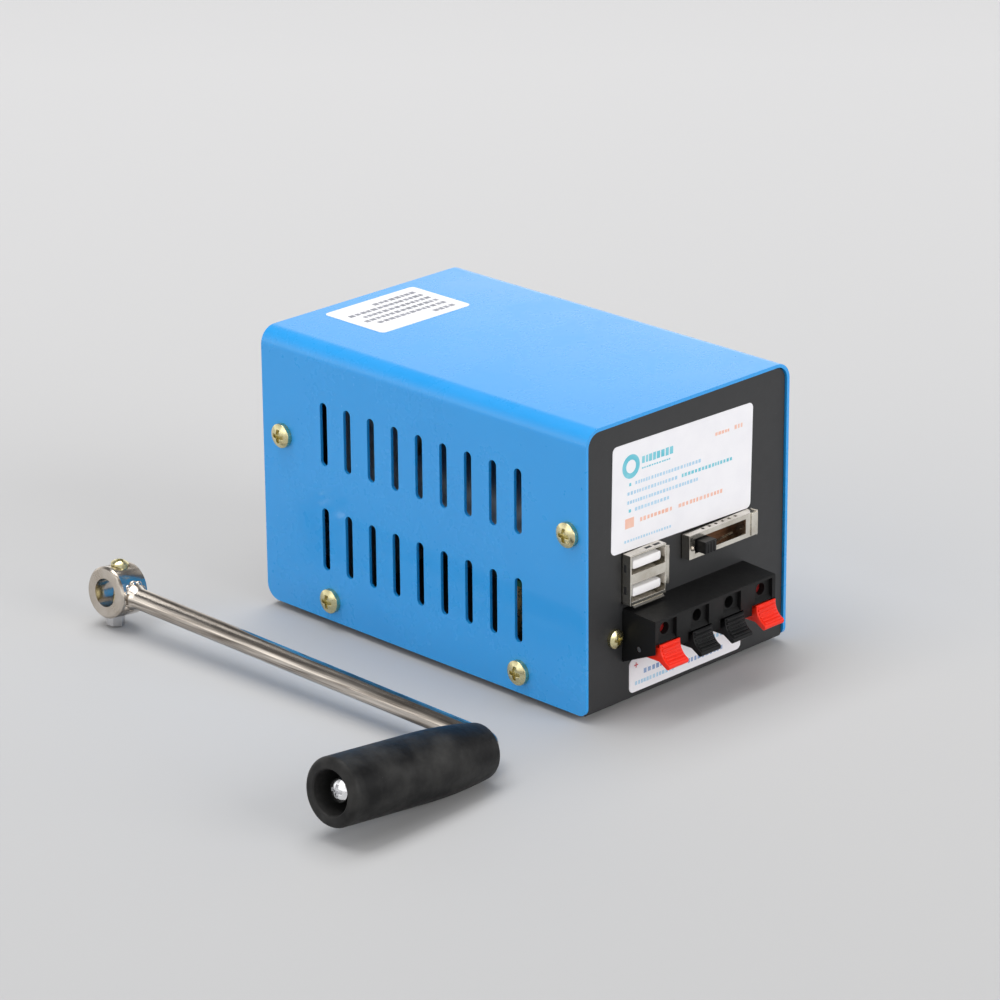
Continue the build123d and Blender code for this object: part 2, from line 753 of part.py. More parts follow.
def build_terminal_body():
    """The terminal block: four lever bays in front, with a wire hole and a spring chamber for each."""
    with BuildPart() as terminal_body:
        with BuildSketch(side_plane(terminal_x)):
            with BuildLine():
                Polyline(
                    (0, terminal_bottom),
                    (terminal_reach, terminal_front_bottom),
                    (terminal_reach, terminal_front_top),
                    (0, terminal_top),
                    close=True,
                )
            make_face()
            with Locations((-terminal_rear_depth / 2, (terminal_rear_bottom + terminal_rear_top) / 2)):
                Rectangle(terminal_rear_depth, terminal_rear_top - terminal_rear_bottom)
        extrude(amount=terminal_length / 2, both=True)
        for x in terminal_places():
            with BuildSketch(side_plane(x)):
                with BuildLine():
                    Polyline(
                        (bay_back, 0),
                        (bay_back, bay_ceiling),
                        (terminal_reach + 1, bay_ceiling),
                        (terminal_reach + 1, 0),
                        close=True,
                    )
                make_face()
            extrude(amount=bay_width / 2, both=True, mode=Mode.SUBTRACT)
            with BuildSketch(side_plane(x)):
                with BuildLine():
                    Polyline(
                        (terminal_reach, bay_ceiling - wire_pocket_overlap),
                        (terminal_reach - wire_pocket_depth, bay_ceiling + wire_pocket_depth),
                        (terminal_reach - wire_pocket_depth, wire_pocket_top - wire_pocket_depth / 2),
                        (terminal_reach, wire_pocket_top),
                        (terminal_reach + 1, wire_pocket_top),
                        (terminal_reach + 1, bay_ceiling - wire_pocket_overlap),
                        close=True,
                    )
                make_face()
            extrude(amount=wire_pocket_width / 2, both=True, mode=Mode.SUBTRACT)
            with BuildSketch(end_plane(panel_face - terminal_reach)):
                with Locations((x, wire_hole_height)):
                    Circle(wire_hole / 2)
            extrude(amount=-terminal_reach, mode=Mode.SUBTRACT)
            chamber_y = (panel_face - bay_back + chamber_wall, panel_face + terminal_rear_depth)
            chamber_z = (terminal_rear_bottom + chamber_wall, terminal_rear_top - chamber_wall)
            block((x - chamber_width / 2, x + chamber_width / 2), chamber_y, chamber_z, Mode.SUBTRACT)
        with BuildSketch(side_plane(terminal_x)):
            with Locations(lever_pivot):
                Circle(pivot_rod / 2 + pivot_clearance)
        extrude(amount=terminal_length / 2, both=True, mode=Mode.SUBTRACT)
    finish(terminal_body, "terminal_body")


def build_terminal_fittings():
    """What holds the terminal block and joins it to the board: bracket, screws, nuts, springs and rod."""
    low = terminal_rear_bottom - hole_clearance
    high = terminal_rear_top + hole_clearance
    with BuildPart() as terminal_bracket:
        with BuildSketch(end_plane(panel_back)):
            with Locations((terminal_x, (low + high) / 2)):
                length = bracket_screw_span + 2 * bracket_border
                RectangleRounded(length, high - low + 2 * bracket_rim, bracket_corner)
                Rectangle(terminal_length + 2 * hole_clearance, high - low, mode=Mode.SUBTRACT)
            with Locations(*bracket_screw_places()):
                Circle(m3_shank / 2 + thread_clearance, mode=Mode.SUBTRACT)
        extrude(amount=-bracket_thickness)
    finish(terminal_bracket, "terminal_bracket")

    screw = cross_head_screw(m3_head, m3_head_height, m3_shank, sheet + bracket_thickness + m3_nut_height)
    screw_places = [facing((x, panel_face, z), (0, -1, 0)) for x, z in bracket_screw_places()]
    finish(group(screw, screw_places), "panel_screws")

    with BuildPart() as panel_nuts:
        with BuildSketch(end_plane(panel_back + bracket_thickness)):
            with Locations(*bracket_screw_places()):
                RegularPolygon(m3_nut_flats / 2, 6, major_radius=False)
                Circle(m3_shank / 2 + thread_clearance, mode=Mode.SUBTRACT)
        extrude(amount=-m3_nut_height)
    finish(panel_nuts, "panel_nuts")

    tail_back = terminal_rear_depth + spring_tail
    leaf_front = bay_back - chamber_wall - spring_gap
    with BuildPart() as terminal_springs:
        for x in terminal_places():
            with BuildSketch(side_plane(x)):
                with BuildLine():
                    spine = FilletPolyline(
                        (leaf_front, terminal_rear_top - chamber_wall - spring_strip),
                        (leaf_front, terminal_rear_bottom + 2 * chamber_wall),
                        (-tail_back, terminal_rear_bottom + 2 * chamber_wall),
                        (-tail_back, board_bottom - spring_strip / 2),
                        radius=spring_bend,
                    )
                    offset(spine, amount=spring_strip / 2, side=Side.BOTH)
                make_face()
            extrude(amount=spring_strip_width / 2, both=True)
    finish(terminal_springs, "terminal_springs")

    with BuildPart() as lever_pivot_rod:
        with BuildSketch(side_plane(terminal_x)):
            with Locations(lever_pivot):
                Circle(pivot_rod / 2)
        extrude(amount=terminal_length / 2 - pivot_rod_setback, both=True)
    finish(lever_pivot_rod, "lever_pivot_rod")


def build_terminal_levers():
    """The four push levers, each turning on the rod through the block."""
    pad_back = terminal_reach + lever_back_gap
    for index, x in enumerate(terminal_places()):
        with BuildPart() as lever:
            with BuildSketch(side_plane(x)):
                with BuildLine():
                    Line((pad_back, lever_edge[1]), lever_edge)
                    ThreePointArc(lever_edge, lever_hollow, lever_tip)
                    ThreePointArc(lever_tip, lever_nose, lever_lip)
                    Polyline(
                        lever_lip,
                        (pad_back, lever_pivot[1] - lever_barrel),
                        (lever_pivot[0], lever_pivot[1] - lever_barrel),
                        (lever_pivot[0], lever_pivot[1] + lever_barrel),
                        (pad_back, lever_pivot[1] + lever_barrel),
                        (pad_back, lever_edge[1]),
                    )
                make_face()
                with Locations(lever_pivot):
                    Circle(lever_barrel)
                    Circle(pivot_rod / 2 + pivot_clearance, mode=Mode.SUBTRACT)
            extrude(amount=lever_width / 2, both=True)
        finish(lever, f"terminal_lever_{index + 1}")


# --- gearbox ------------------------------------------------------------------------------------------
def involute(angle):
    """The involute of an angle in radians."""
    return tan(angle) - angle


def gear_outline(teeth, addendum, dedendum, turn):
    """Corners of a spur gear about its own centre, with the middle of one tooth at turn degrees."""
    pitch_radius = gear_module * teeth / 2
    base_radius = pitch_radius * cos(radians(pressure_angle))
    tip_radius = pitch_radius + addendum * gear_module
    root_radius = pitch_radius - dedendum * gear_module
    flank_start = max(base_radius, root_radius + root_step)
    half_pitch_tooth = pi / (2 * teeth) - gear_backlash / (2 * pitch_radius)
    half_base_tooth = half_pitch_tooth + involute(radians(pressure_angle))
    flank = []
    for step in range(flank_steps + 1):
        radius = flank_start + (tip_radius - flank_start) * step / flank_steps
        flank.append((radius, half_base_tooth - involute(acos(base_radius / radius))))
    side = [(root_radius, flank[0][1])] + flank
    corners = []
    tooth_outline = [(radius, -angle) for radius, angle in side] + list(reversed(side))
    for tooth in range(teeth):
        middle = radians(turn) + 2 * pi * tooth / teeth
        turned = [(radius, middle + angle) for radius, angle in tooth_outline]
        corners += [(radius * cos(angle), radius * sin(angle)) for radius, angle in turned]
    return corners


def toothed(place, front, length, teeth, addendum, dedendum, turn):
    """Add a toothed disc about place, from its front station back by length."""
    with BuildSketch(end_plane(front)) as section:
        with BuildLine():
            corners = gear_outline(teeth, addendum, dedendum, turn)
            Polyline(*[(place[0] + x, place[1] + y) for x, y in corners], close=True)
        make_face()
    extrude(section.sketch, amount=-length)


def build_gearbox_frame():
    """The still parts of the gearbox: plates, pillars, screws, shaft bushes and idler pin."""
    plates = (("rear_gearbox_plate", rear_plate_front), ("front_gearbox_plate", front_plate_front))
    for name, front in plates:
        with BuildPart() as plate:
            with BuildSketch(end_plane(front)):
                with Locations((plate_x, plate_z)):
                    RectangleRounded(plate_width, plate_height, plate_corner)
                with Locations(shaft_place):
                    Circle(bush_diameter / 2 + fit_clearance, mode=Mode.SUBTRACT)
                with Locations(idler_place):
                    Circle(idler_pin_diameter / 2 + fit_clearance, mode=Mode.SUBTRACT)
                with Locations(*pillar_places):
                    Circle(m3_shank / 2 + hole_clearance, mode=Mode.SUBTRACT)
                if front == front_plate_front:
                    with Locations(rotor_place):
                        Circle(generator_bearing / 2 + hole_clearance, mode=Mode.SUBTRACT)
                    with Locations(*generator_screw_places()):
                        Circle(m3_shank / 2 + hole_clearance, mode=Mode.SUBTRACT)
            extrude(amount=-plate_thickness)
        finish(plate, name)

    with BuildPart() as gearbox_pillars:
        with BuildSketch(end_plane(front_plate_back)):
            with Locations(*pillar_places):
                Circle(pillar_diameter / 2)
        extrude(amount=-plate_spacing)
        for face_plane, depth in ((end_plane(front_plate_back), -1), (end_plane(rear_plate_front), 1)):
            with BuildSketch(face_plane):
                with Locations(*pillar_places):
                    Circle(m3_shank / 2 + thread_clearance)
            extrude(amount=depth * pillar_screw_depth, mode=Mode.SUBTRACT)
    finish(gearbox_pillars, "gearbox_pillars")

    screw_length = sheet + plate_thickness + pillar_screw_depth - pillar_screw_gap
    screw = cross_head_screw(m3_head, m3_head_height, m3_shank, screw_length)
    rear = [facing((x, rear_face, z), (0, 1, 0)) for x, z in pillar_places]
    front = [facing((x, front_plate_front, z), (0, -1, 0)) for x, z in pillar_places]
    finish(group(screw, rear + front), "gearbox_screws")

    with BuildPart() as shaft_bushes:
        front_length = plate_thickness - front_bush_setback
        disc(end_plane(front_plate_front + front_bush_setback), shaft_place, bush_diameter, front_length)
        disc(end_plane(front_plate_back), shaft_place, bush_flange, bush_flange_thickness)
        disc(end_plane(rear_bush_face), shaft_place, bush_flange, bush_flange_thickness)
        rear_length = plate_thickness + sheet + rear_bush_stand
        disc(end_plane(rear_plate_front), shaft_place, bush_diameter, rear_length)
        disc(
            end_plane(front_plate_front),
            shaft_place,
            journal_diameter + 2 * running_clearance,
            rear_face + 2 * rear_bush_stand - front_plate_front,
            Mode.SUBTRACT,
        )
    finish(shaft_bushes, "shaft_bushes")

    with BuildPart() as idler_pin:
        disc(end_plane(front_plate_front), idler_place, idler_pin_diameter, rear_inside - front_plate_front)
    finish(idler_pin, "idler_pin")


def build_crank_shaft():
    """The shaft that the crank turns, with its wheel, the pin through both, and the spacer in front."""
    pin_station = drive_back - drive_hub_length / 2
    with BuildPart() as input_shaft:
        disc(end_plane(shaft_front), shaft_place, journal_diameter, shoulder - shaft_front)
        disc(end_plane(shoulder), shaft_place, shaft_diameter, shaft_end - shoulder)
        chamfer(input_shaft.edges().group_by(Axis.Y)[-1], shaft_chamfer)
        with BuildSketch(Plane.XY.offset(shaft_height)):
            with Locations((0, cross_hole_station)):
                Circle(crank_bolt_shank / 2 + hole_clearance)
            with Locations((0, pin_station)):
                Circle(gear_pin_diameter / 2 + fit_clearance)
        extrude(amount=journal_diameter, both=True, mode=Mode.SUBTRACT)
    finish(input_shaft, "input_shaft")

    with BuildPart() as drive_gear:
        toothed(shaft_place, drive_front, drive_face, drive_teeth, *wheel_teeth_height, idler_bearing)
        disc(end_plane(drive_rim_back), shaft_place, drive_hub, drive_hub_length)
        bore = journal_diameter + 2 * fit_clearance
        disc(end_plane(drive_front), shaft_place, bore, drive_back - drive_front, Mode.SUBTRACT)
        with BuildSketch(Plane.XY.offset(shaft_height)):
            with Locations((0, pin_station)):
                Circle(gear_pin_diameter / 2 + fit_clearance)
        extrude(amount=drive_hub, both=True, mode=Mode.SUBTRACT)
    finish(drive_gear, "drive_gear")

    with BuildPart() as gear_pin:
        with BuildSketch(Plane.XY.offset(shaft_height)):
            with Locations((0, pin_station)):
                Circle(gear_pin_diameter / 2)
        extrude(amount=drive_hub / 2 - gear_pin_setback, both=True)
    finish(gear_pin, "gear_pin")

    with BuildPart() as shaft_spacer:
        disc(end_plane(spacer_front), shaft_place, spacer_diameter, spacer_length)
        disc(
            end_plane(spacer_front),
            shaft_place,
            journal_diameter + 2 * fit_clearance,
            spacer_length,
            Mode.SUBTRACT,
        )
    finish(shaft_spacer, "shaft_spacer")


def build_idler():
    """The middle gear: a wheel and a pinion on one boss."""
    towards_shaft = idler_bearing + 180 + 180 / pinion_teeth
    with BuildPart() as idler_gear:
        disc(end_plane(idler_front), idler_place, idler_boss, idler_back - idler_front)
        toothed(idler_place, idler_rim_front, idler_face, idler_teeth, *wheel_teeth_height, rotor_bearing)
        pinion_at = (idler_place, idler_pinion_front, idler_pinion_face)
        toothed(*pinion_at, pinion_teeth, *pinion_teeth_height, towards_shaft)
        disc(
            end_plane(idler_front),
            idler_place,
            idler_pin_diameter + 2 * running_clearance,
            idler_back - idler_front,
            Mode.SUBTRACT,
        )
    finish(idler_gear, "idler_gear")


# --- generator ----------------------------------------------------------------------------------------
def generator_screw_places():
    """X, Z of the two screws that hold the generator to the front gearbox plate."""
    turn = radians(generator_screw_turn)
    reach = generator_screw_span / 2
    across = reach * cos(turn)
    rise = reach * sin(turn)
    return [(rotor_place[0] + side * across, rotor_place[1] + side * rise) for side in (-1, 1)]


def build_generator_case():
    """The still parts of the generator: can, cap, bearings, magnets, screws and brushes."""
    with BuildPart() as generator_can:
        disc(end_plane(can_front), rotor_place, can_diameter, can_length)
        inner = can_diameter - 2 * can_wall
        disc(end_plane(can_front), rotor_place, inner, can_length - can_wall, Mode.SUBTRACT)
        bearing_hole = generator_bearing + 2 * fit_clearance
        disc(end_plane(can_front), rotor_place, bearing_hole, can_length, Mode.SUBTRACT)
        for place in generator_screw_places():
            disc(end_plane(can_front), place, m3_shank + 2 * thread_clearance, can_length, Mode.SUBTRACT)
    finish(generator_can, "generator_can")

    with BuildPart() as generator_cap:
        disc(end_plane(cap_front), rotor_place, can_diameter, cap_thickness)
        disc(end_plane(can_front), rotor_place, inner - 2 * fit_clearance, cap_thickness)
        disc(
            end_plane(cap_front),
            rotor_place,
            generator_bearing + 2 * fit_clearance,
            2 * cap_thickness,
            Mode.SUBTRACT,
        )
    finish(generator_cap, "generator_cap")

    with BuildPart() as generator_bearings:
        for front in (can_back - can_wall - generator_bearing_length / 2, cap_front):
            disc(end_plane(front), rotor_place, generator_bearing, generator_bearing_length)
            bore = generator_shaft + 2 * running_clearance
            disc(end_plane(front), rotor_place, bore, generator_bearing_length, Mode.SUBTRACT)
    finish(generator_bearings, "generator_bearings")

    with BuildPart() as generator_magnets:
        with BuildSketch(end_plane(magnet_front)):
            with Locations(rotor_place):
                Circle(magnet_radius)
                Circle(magnet_radius - magnet_thickness, mode=Mode.SUBTRACT)
                gap = 2 * magnet_radius * cos(radians(magnet_half_angle))
                Rectangle(gap, can_diameter, mode=Mode.SUBTRACT)
        extrude(amount=-magnet_length)
    finish(generator_magnets, "generator_magnets")

    screw = cross_head_screw(m3_head, m3_head_height, m3_shank, plate_thickness + can_wall)
    places = [facing((x, front_plate_back, z), (0, 1, 0)) for x, z in generator_screw_places()]
    finish(group(screw, places), "generator_screws")

    brush_front = can_front + cap_thickness
    brush_start = commutator_diameter / 2 + brush_gap
    with BuildPart() as generator_brushes:
        for side in (-1, 1):
            z = rotor_place[1] + side * (brush_start + brush_length / 2)
            z_range = (z - brush_length / 2, z + brush_length / 2)
            x_range = (rotor_place[0] - brush_width / 2, rotor_place[0] + brush_width / 2)
            block(x_range, (brush_front, commutator_front + commutator_length - commutator_gap), z_range)
    finish(generator_brushes, "generator_brushes")


def build_rotor():
    """The turning parts of the generator: shaft, pinion, core, windings and commutator."""
    shaft_front_end = cap_front + rotor_shaft_setback
    with BuildPart() as rotor_shaft:
        disc(end_plane(shaft_front_end), rotor_place, generator_shaft, rotor_pinion_back - shaft_front_end)
    finish(rotor_shaft, "rotor_shaft")

    with BuildPart() as rotor_pinion:
        turn = rotor_bearing + 180 + 180 / pinion_teeth
        length = rotor_pinion_back - rotor_pinion_front
        toothed(rotor_place, rotor_pinion_front, length, pinion_teeth, *pinion_teeth_height, turn)
        bore = generator_shaft + 2 * fit_clearance
        disc(end_plane(rotor_pinion_front), rotor_place, bore, length, Mode.SUBTRACT)
    finish(rotor_pinion, "rotor_pinion")

    arm_end = core_radius - core_rim
    with BuildPart() as rotor_core:
        with BuildSketch(end_plane(core_front)):
            with Locations(rotor_place):
                Circle(core_radius)
                Circle(arm_end, mode=Mode.SUBTRACT)
                Circle(core_hub_radius)
                with PolarLocations(0, core_poles, start_angle=90):
                    with Locations((core_radius / 2, 0)):
                        Rectangle(core_radius, core_arm)
                with PolarLocations(0, core_poles, start_angle=90 + 180 / core_poles):
                    with Locations((core_radius, 0)):
                        Rectangle(3 * core_rim, core_slot, mode=Mode.SUBTRACT)
                Circle(generator_shaft / 2 + fit_clearance, mode=Mode.SUBTRACT)
        extrude(amount=-core_length)
    finish(rotor_core, "rotor_core")

    coil_half_width = core_arm / 2 + winding_thickness
    coil_in = core_hub_radius + winding_thickness
    coil_out = sqrt(arm_end**2 - coil_half_width**2) - winding_gap
    with BuildPart() as rotor_windings:
        with BuildSketch(end_plane(core_front - winding_thickness)):
            with Locations(rotor_place):
                with PolarLocations(0, core_poles, start_angle=90):
                    with Locations(((coil_in + coil_out) / 2, 0)):
                        Rectangle(coil_out - coil_in, 2 * coil_half_width)
        extrude(amount=-(core_length + 2 * winding_thickness))
        with BuildSketch(end_plane(core_front - winding_gap)):
            with Locations(rotor_place):
                with PolarLocations(0, core_poles, start_angle=90):
                    with Locations(((coil_in + coil_out) / 2, 0)):
                        Rectangle(coil_out, core_arm + 2 * winding_gap)
        extrude(amount=-(core_length + 2 * winding_gap), mode=Mode.SUBTRACT)
    finish(rotor_windings, "rotor_windings")

    with BuildPart() as commutator:
        disc(end_plane(commutator_front), rotor_place, commutator_diameter, commutator_length)
        bore = generator_shaft + 2 * fit_clearance
        disc(end_plane(commutator_front), rotor_place, bore, commutator_length, Mode.SUBTRACT)
    finish(commutator, "commutator")


def build_generator_leads():
    """The two wires from the generator's cap down to the circuit board."""
    height = rotor_place[1] + lead_rise
    with BuildPart() as generator_leads:
        for side in (-1, 1):
            x = rotor_place[0] + side * lead_spacing / 2
            end_y = board_rear - board_hole_inset
            with BuildLine() as route:
                corners = ((x, cap_front, height), (x, end_y, height), (x, end_y, board_top))
                FilletPolyline(*corners, radius=lead_bend)
            with BuildSketch(Plane(origin=(x, cap_front, height), z_dir=(0, -1, 0))):
                Circle(lead_diameter / 2)
            sweep(path=route.wire())
    finish(generator_leads, "generator_leads")


# --- circuit board ------------------------------------------------------------------------------------
def build_circuit_board():
    """The regulator board on its four posts, with its three tall components."""
    middle = (board_front + board_rear) / 2
    with BuildPart() as circuit_board:
        with BuildSketch(Plane.XY.offset(board_bottom)):
            with Locations((0, middle)):
                Rectangle(board_width, board_length)
            with Locations(*board_hole_places()):
                Circle(m3_shank / 2 + hole_clearance, mode=Mode.SUBTRACT)
        extrude(amount=board_thickness)
    finish(circuit_board, "circuit_board")

    with BuildPart() as board_standoffs:
        with BuildSketch(Plane.XY.offset(chassis_floor)):
            with Locations(*board_hole_places()):
                RegularPolygon(standoff_flats / 2, 6, major_radius=False)
        extrude(amount=board_bottom - chassis_floor)
        with BuildSketch(Plane.XY.offset(foot_height)):
            with Locations(*board_hole_places()):
                Circle(standoff_spigot / 2)
        extrude(amount=sheet)
        with BuildSketch(Plane.XY.offset(board_bottom)):
            with Locations(*board_hole_places()):
                Circle(m3_shank / 2 + thread_clearance)
        extrude(amount=-standoff_bore, mode=Mode.SUBTRACT)
    finish(board_standoffs, "board_standoffs")

    screw_length = board_thickness + standoff_bore - board_screw_gap
    screw = cross_head_screw(m3_head, m3_head_height, m3_shank, screw_length)
    finish(group(screw, [Location((x, y, board_top)) for x, y in board_hole_places()]), "board_screws")

    with BuildPart() as capacitor:
        with BuildSketch(Plane.XY.offset(board_top)):
            with Locations((capacitor_place[0], board_front + capacitor_place[1])):
                Circle(capacitor_diameter / 2)
        extrude(amount=capacitor_height)
        fillet(capacitor.edges(), capacitor_edge)
    finish(capacitor, "capacitor")

    with BuildPart() as choke:
        with BuildSketch(Plane.XZ):
            with BuildLine():
                Polyline(
                    (0, 0),
                    (choke_diameter / 2, 0),
                    (choke_diameter / 2, choke_flange),
                    (choke_diameter / 3, choke_flange),
                    (choke_diameter / 3, choke_height - choke_flange),
                    (choke_diameter / 2, choke_height - choke_flange),
                    (choke_diameter / 2, choke_height),
                    (0, choke_height),
                    close=True,
                )
            make_face()
        revolve(axis=Axis.Z)
    choke_location = Location((choke_place[0], board_front + choke_place[1], board_top))
    finish(group(choke.part, [choke_location]), "choke")

    width, depth, height = regulator_size
    x = regulator_place[0]
    y = board_front + regulator_place[1]
    x_range = (x - width / 2, x + width / 2)
    tab_front = y - regulator_tab
    with BuildPart() as regulator:
        block(x_range, (y - depth, tab_front), (board_top, board_top + regulator_body_height))
        block(x_range, (tab_front, y), (board_top, board_top + height))
        hole_place = (x, board_top + height - regulator_hole_drop)
        disc(end_plane(tab_front), hole_place, regulator_hole, regulator_tab, Mode.SUBTRACT)
    finish(regulator, "regulator")


# --- crank --------------------------------------------------------------------------------------------
def crank_plane(point, normal, across):
    """Plane in the crank's own frame: X along the hub's axis away from the grip, Y from grip to hub."""
    origin = crank_frame.from_local_coords(point)
    x_dir = crank_frame.from_local_coords(Vector(*point) + Vector(*across)) - origin
    z_dir = crank_frame.from_local_coords(Vector(*point) + Vector(*normal)) - origin
    return Plane(origin=origin, x_dir=x_dir, z_dir=z_dir)


def build_crank():
    """The crank: a drilled hub with its bolt and nut, and the bent rod welded to it."""
    hub_start = crank_plane((-hub_length / 2, 0, 0), (1, 0, 0), (0, 1, 0))
    bolt_plane = crank_plane((0, 0, 0), (0, 0, 1), (1, 0, 0))
    bolt_hole = crank_bolt_shank + 2 * hole_clearance
    with BuildPart() as crank_hub:
        with BuildSketch(hub_start):
            Circle(hub_diameter / 2)
        extrude(amount=hub_length)
        chamfer(crank_hub.edges(), hub_chamfer)
        with BuildSketch(hub_start):
            Circle(shaft_diameter / 2 + hub_bore_clearance)
        extrude(amount=hub_length, mode=Mode.SUBTRACT)
        with BuildSketch(bolt_plane):
            Circle(bolt_hole / 2)
        extrude(amount=hub_diameter, both=True, mode=Mode.SUBTRACT)
        for side in (-1, 1):
            seat = crank_plane((0, 0, side * hub_seat_height()), (0, 0, side), (1, 0, 0))
            with BuildSketch(seat):
                Circle(spot_face_diameter / 2)
            extrude(amount=hub_diameter, mode=Mode.SUBTRACT)
    finish(crank_hub, "crank_hub")

    root = -sqrt((hub_diameter / 2) ** 2 - weld_radius**2)
    tip = spindle_end()
    step = tip + spindle_neck_length
    with BuildPart() as crank_arm:
        with BuildLine(crank_frame) as route:
            FilletPolyline((0, root, 0), (0, -arm_length, 0), (step, -arm_length, 0), radius=arm_bend)
        with BuildSketch(crank_plane((0, root, 0), (0, -1, 0), (1, 0, 0))):
            Circle(arm_diameter / 2)
        sweep(path=route.wire())
        with BuildSketch(crank_plane((0, root, 0), (0, -1, 0), (1, 0, 0))):
            Circle(weld_radius)
        with BuildSketch(crank_plane((0, root - weld_length, 0), (0, -1, 0), (1, 0, 0))):
            Circle(arm_diameter / 2)
        loft()
        with BuildSketch(hub_start):
            Circle(hub_diameter / 2)
        extrude(amount=hub_length, mode=Mode.SUBTRACT)
        with BuildSketch(crank_plane((step, -arm_length, 0), (-1, 0, 0), (0, 1, 0))):
            Circle(spindle_neck / 2)
        extrude(amount=spindle_neck_length)
        with BuildSketch(crank_plane((tip, -arm_length, 0), (-1, 0, 0), (0, 1, 0))):
            Circle(grip_screw_shank / 2 + thread_clearance)
        extrude(amount=-grip_screw_length, mode=Mode.SUBTRACT)
    finish(crank_arm, "crank_arm")

    seat = hub_seat_height()
    bolt = cross_head_screw(crank_bolt_head, crank_bolt_head_height, crank_bolt_shank, seat + bolt_reach)
    finish(group(bolt, [crank_plane((0, 0, seat), (0, 0, 1), (1, 0, 0)).location]), "crank_bolt")

    with BuildPart() as crank_nut:
        with BuildSketch(crank_plane((0, 0, -bolt_reach), (0, 0, 1), (1, 0, 0))):
            RegularPolygon(crank_nut_flats / 2, 6, major_radius=False, rotation=30)
            Circle(crank_bolt_shank / 2 + thread_clearance, mode=Mode.SUBTRACT)
        extrude(amount=bolt_reach - seat)
    finish(crank_nut, "crank_nut")


def hub_seat_height():
    """Height of the small spot faces on the hub that the bolt's head and nut sit on."""
    return sqrt((hub_diameter / 2) ** 2 - (crank_bolt_head / 2) ** 2) - spot_face_depth


def spindle_end():
    """End of the arm inside the grip, measured along the hub's axis."""
    return -(grip_inner + grip_length - grip_recess_depth + grip_boss_height + grip_end_play)


def build_grip():
    """The grip that turns on the end of the arm, and the screw that keeps it there."""
    spindle = crank_plane((0, -arm_length, 0), (0, 0, 1), (-1, 0, 0))
    near = grip_inner
    far = grip_inner + grip_length
    taper_end = grip_inner + grip_taper_length
    mid_angle = asin(grip_taper_length / taper_radius) / 2
    mid_taper = (
        taper_end - taper_radius * sin(mid_angle),
        grip_radius - taper_radius * (1 - cos(mid_angle)),
    )
    bore = arm_diameter / 2 + grip_bore_clearance
    recess = grip_recess_diameter / 2
    boss = grip_boss_diameter / 2
    boss_bore = spindle_neck / 2 + grip_bore_clearance
    step = -spindle_end() - spindle_neck_length + grip_end_play
    floor = far - grip_recess_depth
    with BuildPart() as grip:
        with BuildSketch(spindle) as profile:
            with BuildLine():
                Polyline((near, bore), (near, grip_neck_radius))
                ThreePointArc((near, grip_neck_radius), mid_taper, (taper_end, grip_radius))
                Polyline(
                    (taper_end, grip_radius),
                    (far, grip_radius),
                    (far, recess),
                    (floor, recess),
                    (floor, boss),
                    (floor + grip_boss_height, boss),
                    (floor + grip_boss_height, boss_bore),
                    (step, boss_bore),
                    (step, bore),
                    (near, bore),
                )
            make_face()
            fillet(profile.vertices().sort_by_distance((far, grip_radius, 0))[:1], grip_rim)
            fillet(profile.vertices().sort_by_distance((near, grip_neck_radius, 0))[:1], grip_neck_rim)
            chamfer(profile.vertices().sort_by_distance((far, recess, 0))[:1], grip_recess_edge)
        revolve(axis=Axis(spindle.origin, spindle.x_dir))
    finish(grip, "grip")

    seat = spindle_end()
    shank = grip_screw_length - grip_screw_gap
    screw = cross_head_screw(grip_screw_head, grip_screw_head_height, grip_screw_shank, shank)
    place = crank_plane((seat, -arm_length, 0), (-1, 0, 0), (0, 1, 0)).location
    finish(group(screw, [place]), "grip_screw")


def main():
    """Build every piece and write it to its own file."""
    os.makedirs("parts", exist_ok=True)
    build_cover()
    build_chassis()
    build_cover_screws()
    build_feet()
    build_labels()
    build_usb_socket()
    build_adjuster()
    build_terminal_body()
    build_terminal_fittings()
    build_terminal_levers()
    build_gearbox_frame()
    build_crank_shaft()
    build_idler()
    build_generator_case()
    build_rotor()
    build_generator_leads()
    build_circuit_board()
    build_crank()
    build_grip()


if __name__ == "__main__":
    main()
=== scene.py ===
"""Dresses the hand crank generator: printed labels, ribs, lips, weld, windings and every finish.

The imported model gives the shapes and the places.  This script adds the small pieces that ride on it,
gives each surface its finish, and sets up a plain pale studio.
"""

import json
import logging
from dataclasses import dataclass, field
from enum import Enum
from math import atan2, cos, hypot, pi, radians, sin
from random import Random

import bmesh
import bpy
from mathutils import Matrix, Vector

